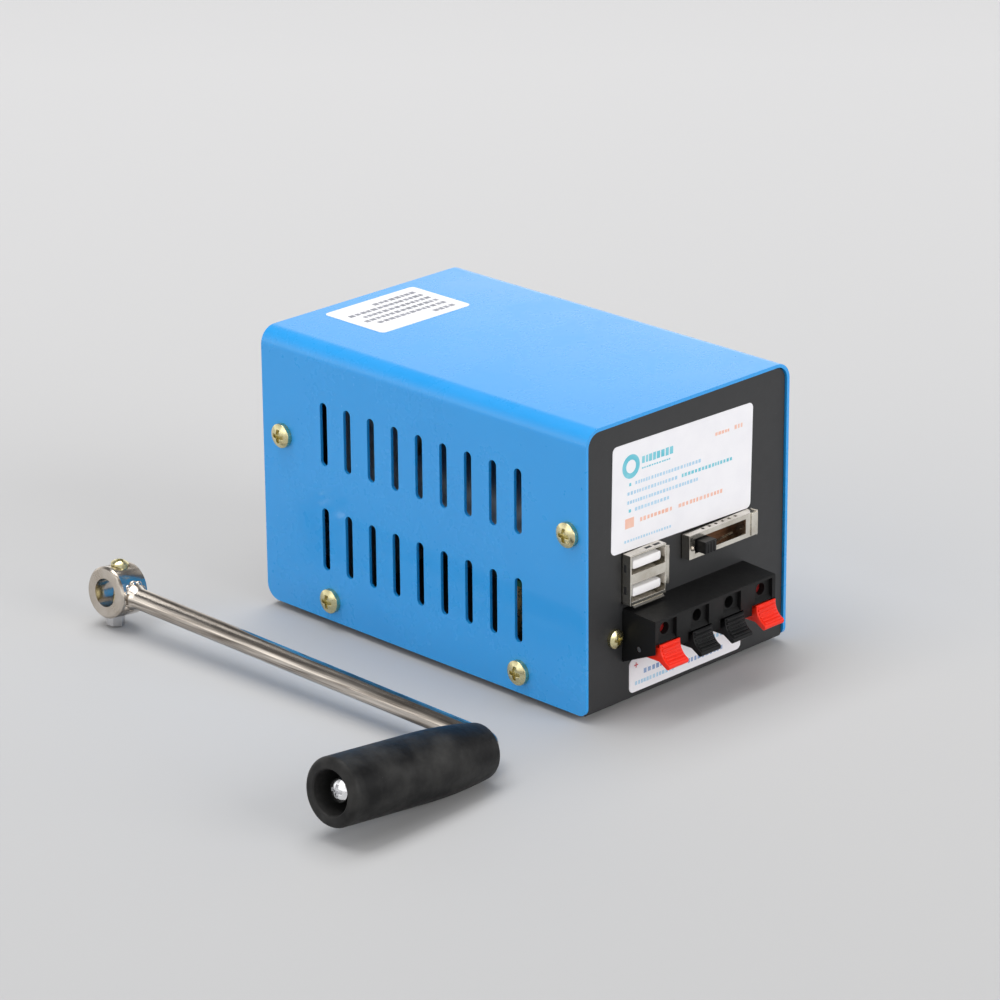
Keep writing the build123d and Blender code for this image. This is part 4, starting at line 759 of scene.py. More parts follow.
class Piece:
    """One new piece: a bmesh worked in millimetres, then handed over as an object that rides on a body."""

    def __init__(self, name: str) -> None:
        """Start an empty piece.

        Args:
            name: the piece's plain name.
        """
        self.name = name
        self.mesh = bmesh.new()

    def _round(self, edges: list[bmesh.types.BMEdge], width: float, clamp: bool) -> None:
        """Round some edges.

        Args:
            edges: the edges.
            width: the rounding's size.
            clamp: whether it stops where two roundings would meet.
        """
        bmesh.ops.bevel(
            self.mesh,
            geom=edges,
            offset=width,
            segments=2,
            profile=0.5,
            affect="EDGES",
            material=-1,
            clamp_overlap=clamp,
        )

    def bar(self, size: Colour, middle: Colour, edge: float = 0.0, turn: Matrix | None = None) -> None:
        """Add a bar with rounded edges.

        Args:
            size: its three lengths.
            middle: its middle.
            edge: the rounding of its edges, or 0 for sharp ones.
            turn: a turn about its own middle.
        """
        made = bmesh.ops.create_cube(self.mesh, size=1.0)["verts"]
        bmesh.ops.scale(self.mesh, vec=size, verts=made)
        place = Matrix.Translation(middle) @ (turn or Matrix.Identity(4))
        bmesh.ops.transform(self.mesh, matrix=place, verts=made)
        if edge > 0:
            self._round(edges_of(made), edge, clamp=True)

    def rod(
        self,
        radii: tuple[float, float],
        length: float,
        middle: Colour,
        along: Along,
        sides: int = 24,
        edge: float = 0.0,
    ) -> None:
        """Add a round bar or cone.

        Args:
            radii: its radius at the start and at the end.
            length: its length.
            middle: its middle.
            along: the direction that it runs.
            sides: how many flats stand for the round.
            edge: the rounding of its edges, or 0 for sharp ones.
        """
        made = bmesh.ops.create_cone(
            self.mesh, cap_ends=True, segments=sides, radius1=radii[0], radius2=radii[1], depth=length
        )["verts"]
        bmesh.ops.transform(self.mesh, matrix=Matrix.Translation(middle) @ along.turn(), verts=made)
        if edge > 0:
            rims = [rim for rim in edges_of(made) if any(len(face.verts) > 4 for face in rim.link_faces)]
            self._round(rims, edge, clamp=False)

    def ring(self, radius: float, section: float, place: Matrix, steps: int = 32, sides: int = 10) -> None:
        """Add a ring of round section by spinning a circle.

        Args:
            radius: from the ring's middle to the middle of its section.
            section: the section's radius.
            place: where it goes; it turns about its own +Z.
            steps: how many steps go round the ring.
            sides: how many sides the section has.
        """
        profile = bmesh.ops.create_circle(self.mesh, segments=sides, radius=section)["verts"]
        bmesh.ops.rotate(self.mesh, verts=profile, matrix=Matrix.Rotation(pi / 2, 3, "X"))
        bmesh.ops.translate(self.mesh, verts=profile, vec=(radius, 0.0, 0.0))
        before = set(self.mesh.verts) - set(profile)
        bmesh.ops.spin(
            self.mesh,
            geom=profile + edges_of(profile),
            cent=(0.0, 0.0, 0.0),
            axis=(0.0, 0.0, 1.0),
            angle=2 * pi,
            steps=steps,
            use_merge=True,
        )
        made = [vert for vert in self.mesh.verts if vert not in before]
        bmesh.ops.remove_doubles(self.mesh, verts=made, dist=0.0005)
        made = [vert for vert in self.mesh.verts if vert not in before]
        bmesh.ops.transform(self.mesh, matrix=place, verts=made)

    def prism(self, corners: list[tuple[float, float]], place: Matrix, length: float) -> None:
        """Add a prism: a flat outline pushed out along its own +Z.

        Args:
            corners: the outline's corners, in order.
            place: where the outline goes.
            length: how far it is pushed.
        """
        verts = [self.mesh.verts.new((x, y, 0.0)) for x, y in corners]
        face = self.mesh.faces.new(verts)
        pushed = bmesh.ops.extrude_face_region(self.mesh, geom=[face])["geom"]
        moved = [item for item in pushed if isinstance(item, bmesh.types.BMVert)]
        bmesh.ops.translate(self.mesh, verts=moved, vec=(0.0, 0.0, length))
        bmesh.ops.transform(self.mesh, matrix=place, verts=verts + moved)

    def dome(self, radius: float, rise: float, place: Matrix) -> None:
        """Add a low dome, such as a rivet's head or a solder joint.

        Args:
            radius: its radius.
            rise: its height.
            place: where its base's middle goes, with its own +Z up.
        """
        made = bmesh.ops.create_uvsphere(self.mesh, u_segments=20, v_segments=10, radius=1.0)["verts"]
        flatten = Matrix.Diagonal((radius, radius, rise, 1.0))
        bmesh.ops.transform(self.mesh, matrix=place @ flatten, verts=made)

    def hand_over(
        self,
        finish: bpy.types.Material,
        body: str,
        place: Matrix | None = None,
        smooth: float = 35.0,
    ) -> bpy.types.Object:
        """Turn the work into an object in metres that rides on a body.

        Args:
            finish: its material.
            body: the body that it rides on.
            place: where the whole piece goes, in millimetres.
            smooth: edges sharper than this many degrees stay crisp.

        Returns:
            The finished object.
        """
        if place is not None:
            bmesh.ops.transform(self.mesh, matrix=place, verts=self.mesh.verts)
        bmesh.ops.scale(self.mesh, vec=(MM, MM, MM), verts=self.mesh.verts)
        bmesh.ops.recalc_face_normals(self.mesh, faces=self.mesh.faces)
        made = surfaced(self.name, self.mesh, finish, smooth)
        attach(made, body)
        log.info("%s: %d faces on %s", self.name, len(made.data.polygons), body)
        return made


def node_box(node: str) -> tuple[Vector, Vector]:
    """A node's lowest and highest corner, in millimetres.

    Args:
        node: the node's name.

    Returns:
        The two corners.
    """
    low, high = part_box(node)
    return Vector(low) / MM, Vector(high) / MM


@dataclass(frozen=True)
class Skin:
    """How one node's surface is redrawn: its finish, and how its edges are rounded and smoothed."""

    node: str
    finish: str
    edge: float = 0.0
    crease: float = 32.0
    flat: float = 0.4


@dataclass
class SkinWorks:
    """Redraws nodes as merged, smooth surfaces with slightly rounded edges."""

    finishes: Finishes
    bodies: dict[str, list[str]]
    slots: dict[str, str]
    merge: float = 0.002
    rounded_from: float = 40.0

    def body_of(self, node: str) -> str:
        """The body that carries a node."""
        return next(body for body, carried in self.bodies.items() if node in carried)

    def redraw(self, source: bpy.types.Object, skin: Skin) -> bpy.types.Object:
        """Redraw one node and let the new surface stand for it.

        Args:
            source: the node's object.
            skin: how it is redrawn.

        Returns:
            The new surface.
        """
        work = bmesh.new()
        work.from_mesh(source.data)
        bmesh.ops.remove_doubles(work, verts=work.verts, dist=self.merge * MM)
        bmesh.ops.dissolve_limit(
            work,
            angle_limit=radians(skin.flat),
            verts=work.verts,
            edges=work.edges,
            use_dissolve_boundaries=False,
        )
        made = surfaced(f"{skin.node}_surface", work, self.finishes[skin.finish], skin.crease)
        if skin.edge > 0:
            rounding = made.modifiers.new("rounded_edges", "BEVEL")
            rounding.width = skin.edge * MM
            rounding.segments = 2
            rounding.limit_method = "ANGLE"
            rounding.angle_limit = radians(self.rounded_from)
            rounding.harden_normals = True
        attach(made, self.body_of(skin.node))
        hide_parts(skin.node)
        log.info("%s: redrawn with %d faces", skin.node, len(made.data.polygons))
        return made


# --- sub-assemblies ------------------------------------------------------------------------------


@dataclass
class Housing:
    """The cover, the chassis, their screws and the feet."""

    finishes: Finishes
    works: SkinWorks
    skins: tuple[Skin, ...] = (
        Skin("cover", "blue_enamel", 0.14),
        Skin("chassis", "black_enamel", 0.1),
        Skin("cover_screws", "yellow_zinc", 0.1),
        Skin("panel_screws", "yellow_zinc", 0.08),
        Skin("feet", "foot_rubber", 0.15),
    )

    def build(self, nodes: dict[str, bpy.types.Object]) -> None:
        """Redraw the sheet metal, screws and feet in their finishes."""
        for skin in self.skins:
            self.works.redraw(nodes[skin.node], skin)


@dataclass
class PrintLine:
    """One printed line of plain dashes."""

    start: float
    height: float
    length: float
    tall: float = 1.2
    ink: str = "ink_blue"
    dash: float = 1.15
    gap: float = 0.5


@dataclass
class Labels:
    """The three labels and their generic printing, which is dashes and plain marks only."""

    finishes: Finishes
    ink_thickness: float = 0.02
    panel_turn: float = -1.2
    top_lengths: tuple[float, ...] = (27.0, 28.0, 26.0, 27.5, 17.0)
    top_pitch: float = 3.1
    ring_size: tuple[float, float] = (2.6, 0.75)
    ring_place: tuple[float, float] = (-20.4, 8.4)
    square_half: tuple[float, float] = (1.7, 1.4)
    square_place: tuple[float, float] = (-20.6, -7.4)
    sign_size: tuple[float, float] = (1.5, 0.35)
    sign_height: float = 2.9
    plus_lift: float = 0.002
    plus_places: tuple[float, ...] = (-19.6, 19.0)
    sign_places: tuple[float, ...] = (-19.6, -6.4, 6.4, 19.0)
    seed: int = 7

    def dress(self, nodes: dict[str, bpy.types.Object]) -> None:
        """Give the label film its finish."""
        films = ("top_label", "panel_label", "terminal_label")
        self.finishes.dress(nodes, dict.fromkeys(films, "label_white"))

    def _dashes(self, piece: Piece, line: PrintLine, dice: Random) -> None:
        """Lay one line of dashes, each a low plate.

        Args:
            piece: the piece that takes them.
            line: the line's place and size, on the label's own plane.
            dice: gives the dashes their uneven widths.
        """
        at = line.start
        while at < line.start + line.length - line.dash * 0.5:
            wide = line.dash * dice.uniform(0.75, 1.25)
            tall = line.tall * dice.uniform(0.85, 1.0)
            piece.bar((wide, tall, self.ink_thickness), (at + wide / 2, line.height, self.ink_thickness / 2))
            at += wide + line.gap * dice.uniform(0.7, 1.3)

    def _print(self, name: str, lines: list[PrintLine], place: Matrix) -> None:
        """Print lines on one label, one piece for each ink.

        Args:
            name: the start of the pieces' names.
            lines: the lines.
            place: the label's plane, its own +Z outwards.
        """
        dice = Random(self.seed)
        for ink in sorted({line.ink for line in lines}):
            piece = Piece(f"{name}_{ink.split('_')[1]}")
            for line in lines:
                if line.ink == ink:
                    self._dashes(piece, line, dice)
            piece.hand_over(self.finishes[ink], "housing", place)

    def _plane(self, node: str, turn: float = 0.0) -> Matrix:
        """The outer plane of a label on the output panel.

        Args:
            node: the label's node.
            turn: how far the label is turned, in degrees.

        Returns:
            A place whose +X is the panel's +X, +Y is up and +Z is outwards.
        """
        low, high = node_box(node)
        middle = (low + high) / 2
        place = Matrix.Translation((middle.x, low.y, middle.z)) @ Matrix.Rotation(pi / 2, 4, "X")
        return place @ Matrix.Rotation(radians(turn), 4, "Z")

    def top(self) -> None:
        """Print the label on the cover's top: rows of dark dashes that read from the far end."""
        low, high = node_box("top_label")
        middle = (low + high) / 2
        place = Matrix.Translation((middle.x, middle.y, high.z)) @ Matrix.Rotation(pi, 4, "Z")
        lines = [PrintLine(-14.0, 8.2, 9.0, 1.9, "ink_grey", 1.9, 0.5)]
        for index, length in enumerate(self.top_lengths):
            lines.append(PrintLine(-14.0, 4.6 - index * self.top_pitch, length, 1.7, "ink_grey", 1.6, 0.45))
        self._print("top_label_print", lines, place)

    def panel(self) -> None:
        """Print the large panel label: a plain ring, short lines of dashes and a plain square."""
        place = self._plane("panel_label", self.panel_turn)
        lines = [
            PrintLine(-16.2, 9.2, 12.5, 2.2, "ink_teal", 1.1, 0.45),
            PrintLine(-16.2, 6.9, 11.0, 0.45, "ink_teal", 0.7, 0.3),
            PrintLine(12.5, 9.4, 6.0, 0.9, "ink_orange", 0.9, 0.3),
            PrintLine(20.2, 9.6, 3.2, 1.2, "ink_orange", 0.8, 0.4),
            PrintLine(-21.0, 3.4, 1.0, 1.0, "ink_teal", 1.0, 0.4),
            PrintLine(-18.6, 3.4, 26.0, 1.0, "ink_blue", 0.75, 0.4),
            PrintLine(-21.6, 0.9, 20.0, 1.0, "ink_blue", 0.75, 0.4),
            PrintLine(-0.5, 0.9, 20.5, 1.05, "ink_teal", 0.8, 0.4),
            PrintLine(-21.6, -1.6, 28.0, 1.0, "ink_blue", 0.75, 0.4),
            PrintLine(-21.0, -4.0, 1.0, 1.0, "ink_teal", 1.0, 0.4),
            PrintLine(-18.6, -4.0, 13.0, 1.0, "ink_blue", 0.75, 0.4),
            PrintLine(-16.5, -7.4, 13.0, 1.15, "ink_orange", 0.95, 0.5),
            PrintLine(-1.5, -7.4, 18.0, 1.15, "ink_orange", 0.95, 0.5),
            PrintLine(-22.5, -12.4, 18.0, 0.75, "ink_blue", 0.6, 0.4),
        ]
        self._print("panel_label_print", lines, place)
        ring = Piece("panel_label_ring")
        flatten = Matrix.Diagonal((1.0, 1.0, self.ink_thickness, 1.0))
        middle = Matrix.Translation((*self.ring_place, self.ink_thickness / 2))
        ring.ring(*self.ring_size, middle @ flatten, 40, 8)
        ring.hand_over(self.finishes["ink_teal"], "housing", place)
        square = Piece("panel_label_corner_mark")
        wide, tall = self.square_half
        outline = [(-wide, -tall), (wide, -tall), (wide, tall), (-wide, tall)]
        square.prism(outline, Matrix.Translation((*self.square_place, 0.0)), self.ink_thickness)
        square.hand_over(self.finishes["ink_orange"], "housing", place)

    def terminal(self) -> None:
        """Print the label under the terminals: plus and minus signs, and blue dashes."""
        place = self._plane("terminal_label")
        lines = [
            PrintLine(-16.6, 0.3, 10.5, 1.4, "ink_slate", 1.0, 0.5),
            PrintLine(-20.0, -2.4, 15.0, 1.2, "ink_blue", 0.9, 0.4),
            PrintLine(1.0, -2.2, 14.0, 1.4, "ink_slate", 1.0, 0.5),
            PrintLine(9.5, 1.9, 8.0, 1.2, "ink_blue", 0.9, 0.5),
        ]
        self._print("terminal_label_print", lines, place)
        signs = Piece("terminal_label_signs")
        long, thick = self.sign_size
        for x in self.sign_places:
            signs.bar((long, thick, self.ink_thickness), (x, self.sign_height, self.ink_thickness / 2))
            if x in self.plus_places:
                upright = (x, self.sign_height, self.ink_thickness / 2 + self.plus_lift)
                signs.bar((thick, long, self.ink_thickness), upright)
        signs.hand_over(self.finishes["ink_red"], "housing", place)

    def build(self, nodes: dict[str, bpy.types.Object]) -> None:
        """Dress the film and print all three labels."""
        self.dress(nodes)
        self.top()
        self.panel()
        self.terminal()


@dataclass
class UsbSocket:
    """The stacked two-port socket."""

    finishes: Finishes
    works: SkinWorks
    wall: float = 0.5
    lip_reach: float = 1.3
    lip_flare: float = 0.9
    lip_sink: float = 0.05
    lip_setback: float = 0.9
    # Where each lip starts, from the shell's low edge, and how much shorter than the shell it is.
    right_lip_ends: tuple[float, float] = (2.6, 3.4)
    lower_lip_ends: tuple[float, float] = (1.1, 2.2)
    # The slot marks are thin dark plates: painted shade standing in for the openings.
    mark_thickness: float = 0.04
    mark_lift: float = 0.01
    slot_size: tuple[float, float] = (2.3, 1.0)
    slot_places: tuple[float, float] = (1.2, 4.6)
    slot_setback: float = 1.4
    side_slot: tuple[float, float] = (0.9, 2.2)
    side_slot_setback: float = 1.9
    side_slot_end: float = 4.0
    port_floor: float = 1.0
    port_height: float = 4.9
    tongue_middle: float = 2.25
    tongue_setback: float = 0.5
    tongue_shift: float = 0.1
    tip_size: tuple[float, float, float] = (11.1, 5.0, 2.7)
    latch_size: tuple[float, float, float] = (1.9, 5.0, 0.22)
    latch_spread: float = 2.9
    latch_setback: float = 3.4
    latch_drop: float = 0.5
    latch_lean: float = -9.0

    def dress(self, nodes: dict[str, bpy.types.Object]) -> None:
        """Give the shell, insulator and contacts their finishes."""
        self.works.redraw(nodes["usb_shell"], Skin("usb_shell", "dull_nickel", 0.1))
        self.works.redraw(nodes["usb_insulator"], Skin("usb_insulator", "socket_white", 0.2))
        self.finishes.dress(nodes, {"usb_contacts": "spring_brass"})

    def lips(self) -> None:
        """Bend the shell's front edge outwards at the right and below."""
        low, high = node_box("usb_shell")
        piece = Piece("usb_front_lips")
        reach, flare = self.lip_reach, self.lip_flare
        section = [(0.0, 0.0), (reach, flare), (reach + 0.12, flare - 0.32), (0.1, -0.35)]
        front = low.y + self.lip_setback
        start, shorter = self.right_lip_ends
        side, up = (0, 1, 0, high.x - self.lip_sink), (0, 0, 1, low.z + start)
        piece.prism(section, Matrix((side, (-1, 0, 0, front), up, (0, 0, 0, 1))), high.z - low.z - shorter)
        start, shorter = self.lower_lip_ends
        side, down = (0, 0, 1, low.x + start), (0, -1, 0, low.z + self.lip_sink)
        piece.prism(section, Matrix((side, (-1, 0, 0, front), down, (0, 0, 0, 1))), high.x - low.x - shorter)
        piece.hand_over(self.finishes["dull_nickel"], "housing")

    def slots(self) -> None:
        """Lay thin dark plates as painted shade where the shell's top has punched slots and its sides have
        latch springs.
        """
        low, high = node_box("usb_shell")
        middle = (low.x + high.x) / 2
        piece = Piece("usb_shell_slot_shade")
        for shift in self.slot_places:
            place = (middle + shift, low.y + self.slot_setback, high.z + self.mark_lift)
            piece.bar((*self.slot_size, self.mark_thickness), place, 0.01)
        y = low.y + self.side_slot_setback
        for x in (low.x - self.mark_lift, high.x + self.mark_lift):
            for z in (low.z + self.side_slot_end, high.z - self.side_slot_end):
                piece.bar((self.mark_thickness, *self.side_slot), (x, y, z), 0.01)
        piece.hand_over(self.finishes["cap_black"], "housing")

    def tongue_tips(self) -> None:
        """Round off the white tongue in each port with its fuller moulded tip."""
        low, high = node_box("usb_shell")
        middle = (low.x + high.x) / 2
        piece = Piece("usb_tongue_tips")
        y = low.y + self.tongue_setback + self.tip_size[1] / 2
        for floor in (low.z + self.port_floor, high.z - self.wall - self.port_height):
            piece.bar(self.tip_size, (middle + self.tongue_shift, y, floor + self.tongue_middle), 0.7)
        piece.hand_over(self.finishes["socket_white"], "housing")

    def springs(self) -> None:
        """Bow the latch springs that press on a plug, two in the roof of each port."""
        low, high = node_box("usb_shell")
        middle = (low.x + high.x) / 2
        piece = Piece("usb_latch_springs")
        turn = Matrix.Rotation(radians(self.latch_lean), 4, "X")
        for roof in (low.z + self.port_floor + self.port_height, high.z - self.wall):
            for x in (middle - self.latch_spread, middle + self.latch_spread):
                place = (x, low.y + self.latch_setback, roof - self.latch_drop)
                piece.bar(self.latch_size, place, 0.08, turn)
        piece.hand_over(self.finishes["dull_nickel"], "housing")

    def build(self, nodes: dict[str, bpy.types.Object]) -> None:
        """Dress the socket and add its small metalwork."""
        self.dress(nodes)
        self.lips()
        self.slots()
        self.tongue_tips()
        self.springs()


@dataclass
class SlideAdjuster:
    """The sliding adjuster in its pressed frame."""

    finishes: Finishes
    works: SkinWorks
    # Each fold of the end ear: its width, its depth, and how much taller than the frame it is.
    ear_size: tuple[float, float, float] = (0.5, 2.4, 0.5)
    flange_size: tuple[float, float, float] = (2.6, 0.35, -0.4)
    # Where each fold's middle lies, from the frame's right front edge.
    ear_place: tuple[float, float] = (0.3, 1.1)
    flange_place: tuple[float, float] = (-0.9, -0.12)
    rivet_size: tuple[float, float] = (0.75, 0.45)
    rivet_place: tuple[float, float] = (1.3, -0.4)
    strip_size: tuple[float, float] = (0.12, 0.7)
    strip_spread: float = 1.3
    knob_ribs: int = 3
    rib_pitch: float = 1.15
    rib_radius: float = 0.24
    rib_length: float = 2.9

    def dress(self, nodes: dict[str, bpy.types.Object]) -> None:
        """Give the frame, base, knob, wiper and pins their finishes."""
        self.works.redraw(nodes["adjuster_frame"], Skin("adjuster_frame", "dull_nickel", 0.12))
        self.works.redraw(nodes["adjuster_knob"], Skin("adjuster_knob", "knob_black", 0.15))
        plan = {
            "adjuster_base": "phenolic_brown",
            "adjuster_wiper": "bright_nickel",
            "adjuster_pins": "dull_nickel",
        }
        self.finishes.dress(nodes, plan)

    def metalwork(self) -> None:
        """Add the folded ear at the right end and the rivet at the left of the window."""
        low, high = node_box("adjuster_frame")
        ear = Piece("adjuster_end_ear")
        tall, middle = high.z - low.z, (low.z + high.z) / 2
        folds = ((self.ear_size, self.ear_place, 0.2), (self.flange_size, self.flange_place, 0.12))
        for (wide, deep, taller), (x, y), edge in folds:
            ear.bar((wide, deep, tall + taller), (high.x + x, low.y + y, middle), edge)
        ear.hand_over(self.finishes["dull_nickel"], "housing")
        rivet = Piece("adjuster_rivet")
        place = Matrix.Translation((low.x + self.rivet_place[0], low.y, middle + self.rivet_place[1]))
        rivet.dome(*self.rivet_size, place @ Matrix.Rotation(pi / 2, 4, "X"))
        rivet.hand_over(self.finishes["bright_nickel"], "housing")

    def contact(self) -> None:
        """Add the fixed contact strips behind the window, on the brown base."""
        low, high = node_box("adjuster_base")
        piece = Piece("adjuster_contact_strips")
        middle = (low.z + high.z) / 2
        for z in (middle - self.strip_spread, middle + self.strip_spread):
            piece.bar((high.x - low.x - 3.0, *self.strip_size), ((low.x + high.x) / 2, low.y - 0.04, z), 0.04)
        piece.hand_over(self.finishes["bright_nickel"], "housing")

    def ribs(self) -> None:
        """Add the ribs across the knob's face."""
        low, high = node_box("adjuster_knob")
        middle = (low + high) / 2
        piece = Piece("adjuster_knob_ribs")
        for index in range(self.knob_ribs):
            x = middle.x + (index - (self.knob_ribs - 1) / 2) * self.rib_pitch
            piece.rod((self.rib_radius,) * 2, self.rib_length, (x, low.y + 0.03, middle.z), Along.Z, 10, 0.06)
        piece.hand_over(self.finishes["knob_black"], "adjuster")

    def build(self, nodes: dict[str, bpy.types.Object]) -> None:
        """Dress the adjuster and add its small parts."""
        self.dress(nodes)
        self.metalwork()
        self.contact()
        self.ribs()


@dataclass
class TerminalBlock:
    """The four spring terminals: a black block, ribbed push levers and the metal behind them."""

    finishes: Finishes
    works: SkinWorks
    pitch: float = 12.73
    hole_height: float = 25.0
    hole_radius: float = 1.7
    insert_depth: float = 3.2
    insert_clearance: float = 0.02
    clamp_size: tuple[float, float, float] = (0.35, 2.0, 2.2)
    clamp_depth: float = 6.3
    clamp_shift: float = 0.5
    clamp_turn: float = 14.0
    panel_face: float = -61.9
    reach: float = 11.8
    rib_count: int = 6
    rib_radius: float = 0.34
    rib_width: float = 6.6
    edge: tuple[float, float] = (12.9, 21.7)
    hollow: tuple[float, float] = (13.5, 18.7)
    tip: tuple[float, float] = (15.7, 16.8)
    outer: tuple[int, int] = (1, 4)

    def dress(self, nodes: dict[str, bpy.types.Object]) -> None:
        """Give the block, levers and metal parts their finishes."""
        self.works.redraw(nodes["terminal_body"], Skin("terminal_body", "terminal_black", 0.22))
        for index in range(1, 5):
            finish = "lever_red" if index in self.outer else "lever_black"
            lever = f"terminal_lever_{index}"
            self.works.redraw(nodes[lever], Skin(lever, finish, 0.2))
        plan = {
            "terminal_springs": "spring_brass",
            "terminal_bracket": "rolled_steel",
            "panel_nuts": "cut_steel",
            "lever_pivot_rod": "cut_steel",
        }
        self.finishes.dress(nodes, plan)

    def arc(self) -> tuple[float, float, float, float, float]:
        """The hollow of a lever's face as an arc.

        Returns:
            The arc's middle, its radius, and the directions of its two ends, seen from the side.
        """
        (ax, ay), (bx, by), (cx, cy) = self.edge, self.hollow, self.tip
        twice = 2 * (ax * (by - cy) + bx * (cy - ay) + cx * (ay - by))
        a, b, c = ax * ax + ay * ay, bx * bx + by * by, cx * cx + cy * cy
        x = (a * (by - cy) + b * (cy - ay) + c * (ay - by)) / twice
        y = (a * (cx - bx) + b * (ax - cx) + c * (bx - ax)) / twice
        start, end = atan2(ay - y, ax - x) % (2 * pi), atan2(cy - y, cx - x) % (2 * pi)
        return x, y, hypot(ax - x, ay - y), start, end

    def ribs(self, index: int) -> None:
        """Add the ribs across one lever's hollow face.

        Args:
            index: the lever's number from the left, 1 to 4.
        """
        low, high = node_box(f"terminal_lever_{index}")
        middle = (low.x + high.x) / 2
        x, y, radius, start, end = self.arc()
        piece = Piece(f"terminal_lever_{index}_ribs")
        for step in range(self.rib_count):
            angle = start + (end - start) * (step + 0.55) / self.rib_count
            at = (middle, self.panel_face - (x + radius * cos(angle)), y + radius * sin(angle))
            piece.rod((self.rib_radius,) * 2, self.rib_width, at, Along.X, 12, 0.1)
        red = index in self.outer
        finish = self.finishes["lever_red" if red else "lever_black"]
        piece.hand_over(finish, f"lever_{index}")

    def sleeves(self) -> None:
        """Line the two outer wire holes in red, and leave a brass clamp inside all four."""
        low, high = node_box("terminal_body")
        middle = (low.x + high.x) / 2
        red = Piece("wire_hole_red_inserts")
        clamps = Piece("wire_hole_clamps")
        face = self.panel_face - self.reach
        for index in range(4):
            x = middle + (index - 1.5) * self.pitch
            if index + 1 in self.outer:
                place = (x, face + self.insert_depth, self.hole_height)
                red.rod((self.hole_radius - self.insert_clearance,) * 2, 0.5, place, Along.Y, 24, 0.05)
            place = (x + self.clamp_shift, face + self.clamp_depth, self.hole_height)
            clamps.bar(self.clamp_size, place, 0.08, Matrix.Rotation(radians(self.clamp_turn), 4, "Z"))
        red.hand_over(self.finishes["hole_red"], "housing")
        clamps.hand_over(self.finishes["spring_brass"], "housing")

    def build(self, nodes: dict[str, bpy.types.Object]) -> None:
        """Dress the block and add its ribs and inserts."""
        self.dress(nodes)
        for index in range(1, 5):
            self.ribs(index)
        self.sleeves()


@dataclass
class Gearbox:
    """The two-step gearbox between the crank shaft and the generator."""

    finishes: Finishes
    works: SkinWorks
    steel: tuple[str, ...] = (
        "gear_pin",
        "idler_pin",
        "drive_gear",
        "idler_gear",
        "shaft_spacer",
        "gearbox_pillars",
        "gearbox_screws",
    )
    sheet: tuple[str, ...] = ("rear_gearbox_plate", "front_gearbox_plate")

    def build(self, nodes: dict[str, bpy.types.Object]) -> None:
        """Give plates, pillars, shafts, gears and bushes their finishes."""
        self.works.redraw(nodes["input_shaft"], Skin("input_shaft", "cut_steel", 0.05))
        self.finishes.dress(nodes, dict.fromkeys(self.steel, "cut_steel"))
        self.finishes.dress(nodes, dict.fromkeys(self.sheet, "rolled_steel"))
        self.finishes.dress(nodes, {"shaft_bushes": "oiled_bronze"})
        log.info("gearbox dressed")


@dataclass
class Generator:
    """The brushed direct-current generator."""

    finishes: Finishes
    lead_radius: float = 0.8
    joint_size: tuple[float, float] = (1.5, 1.1)

    def dress(self, nodes: dict[str, bpy.types.Object]) -> None:
        """Give the case, magnets, rotor and leads their finishes."""
        plan = {
            "generator_can": "rolled_steel",
            "generator_cap": "cap_black",
            "generator_bearings": "oiled_bronze",
            "generator_magnets": "ferrite_grey",
            "generator_screws": "cut_steel",
            "generator_brushes": "spring_brass",
            "generator_leads": "lead_red",
            "rotor_shaft": "cut_steel",
            "rotor_core": "lamination_steel",
            "rotor_windings": "rotor_wire",
            "commutator": "commutator_copper",
            "rotor_pinion": "spring_brass",
        }
        self.finishes.dress(nodes, plan)

    def terminals(self) -> None:
        """Solder the two leads to tags on the generator's cap."""
        low, high = node_box("generator_leads")
        piece = Piece("generator_lead_joints")
        front = node_box("generator_cap")[0].y
        face = Matrix.Rotation(pi / 2, 4, "X")
        for x in (low.x + self.lead_radius, high.x - self.lead_radius):
            piece.dome(*self.joint_size, Matrix.Translation((x, front, high.z - self.lead_radius)) @ face)
        piece.hand_over(self.finishes["bright_nickel"], "housing")

    def build(self, nodes: dict[str, bpy.types.Object]) -> None:
        """Dress the generator and solder its leads."""
        self.dress(nodes)
        self.terminals()


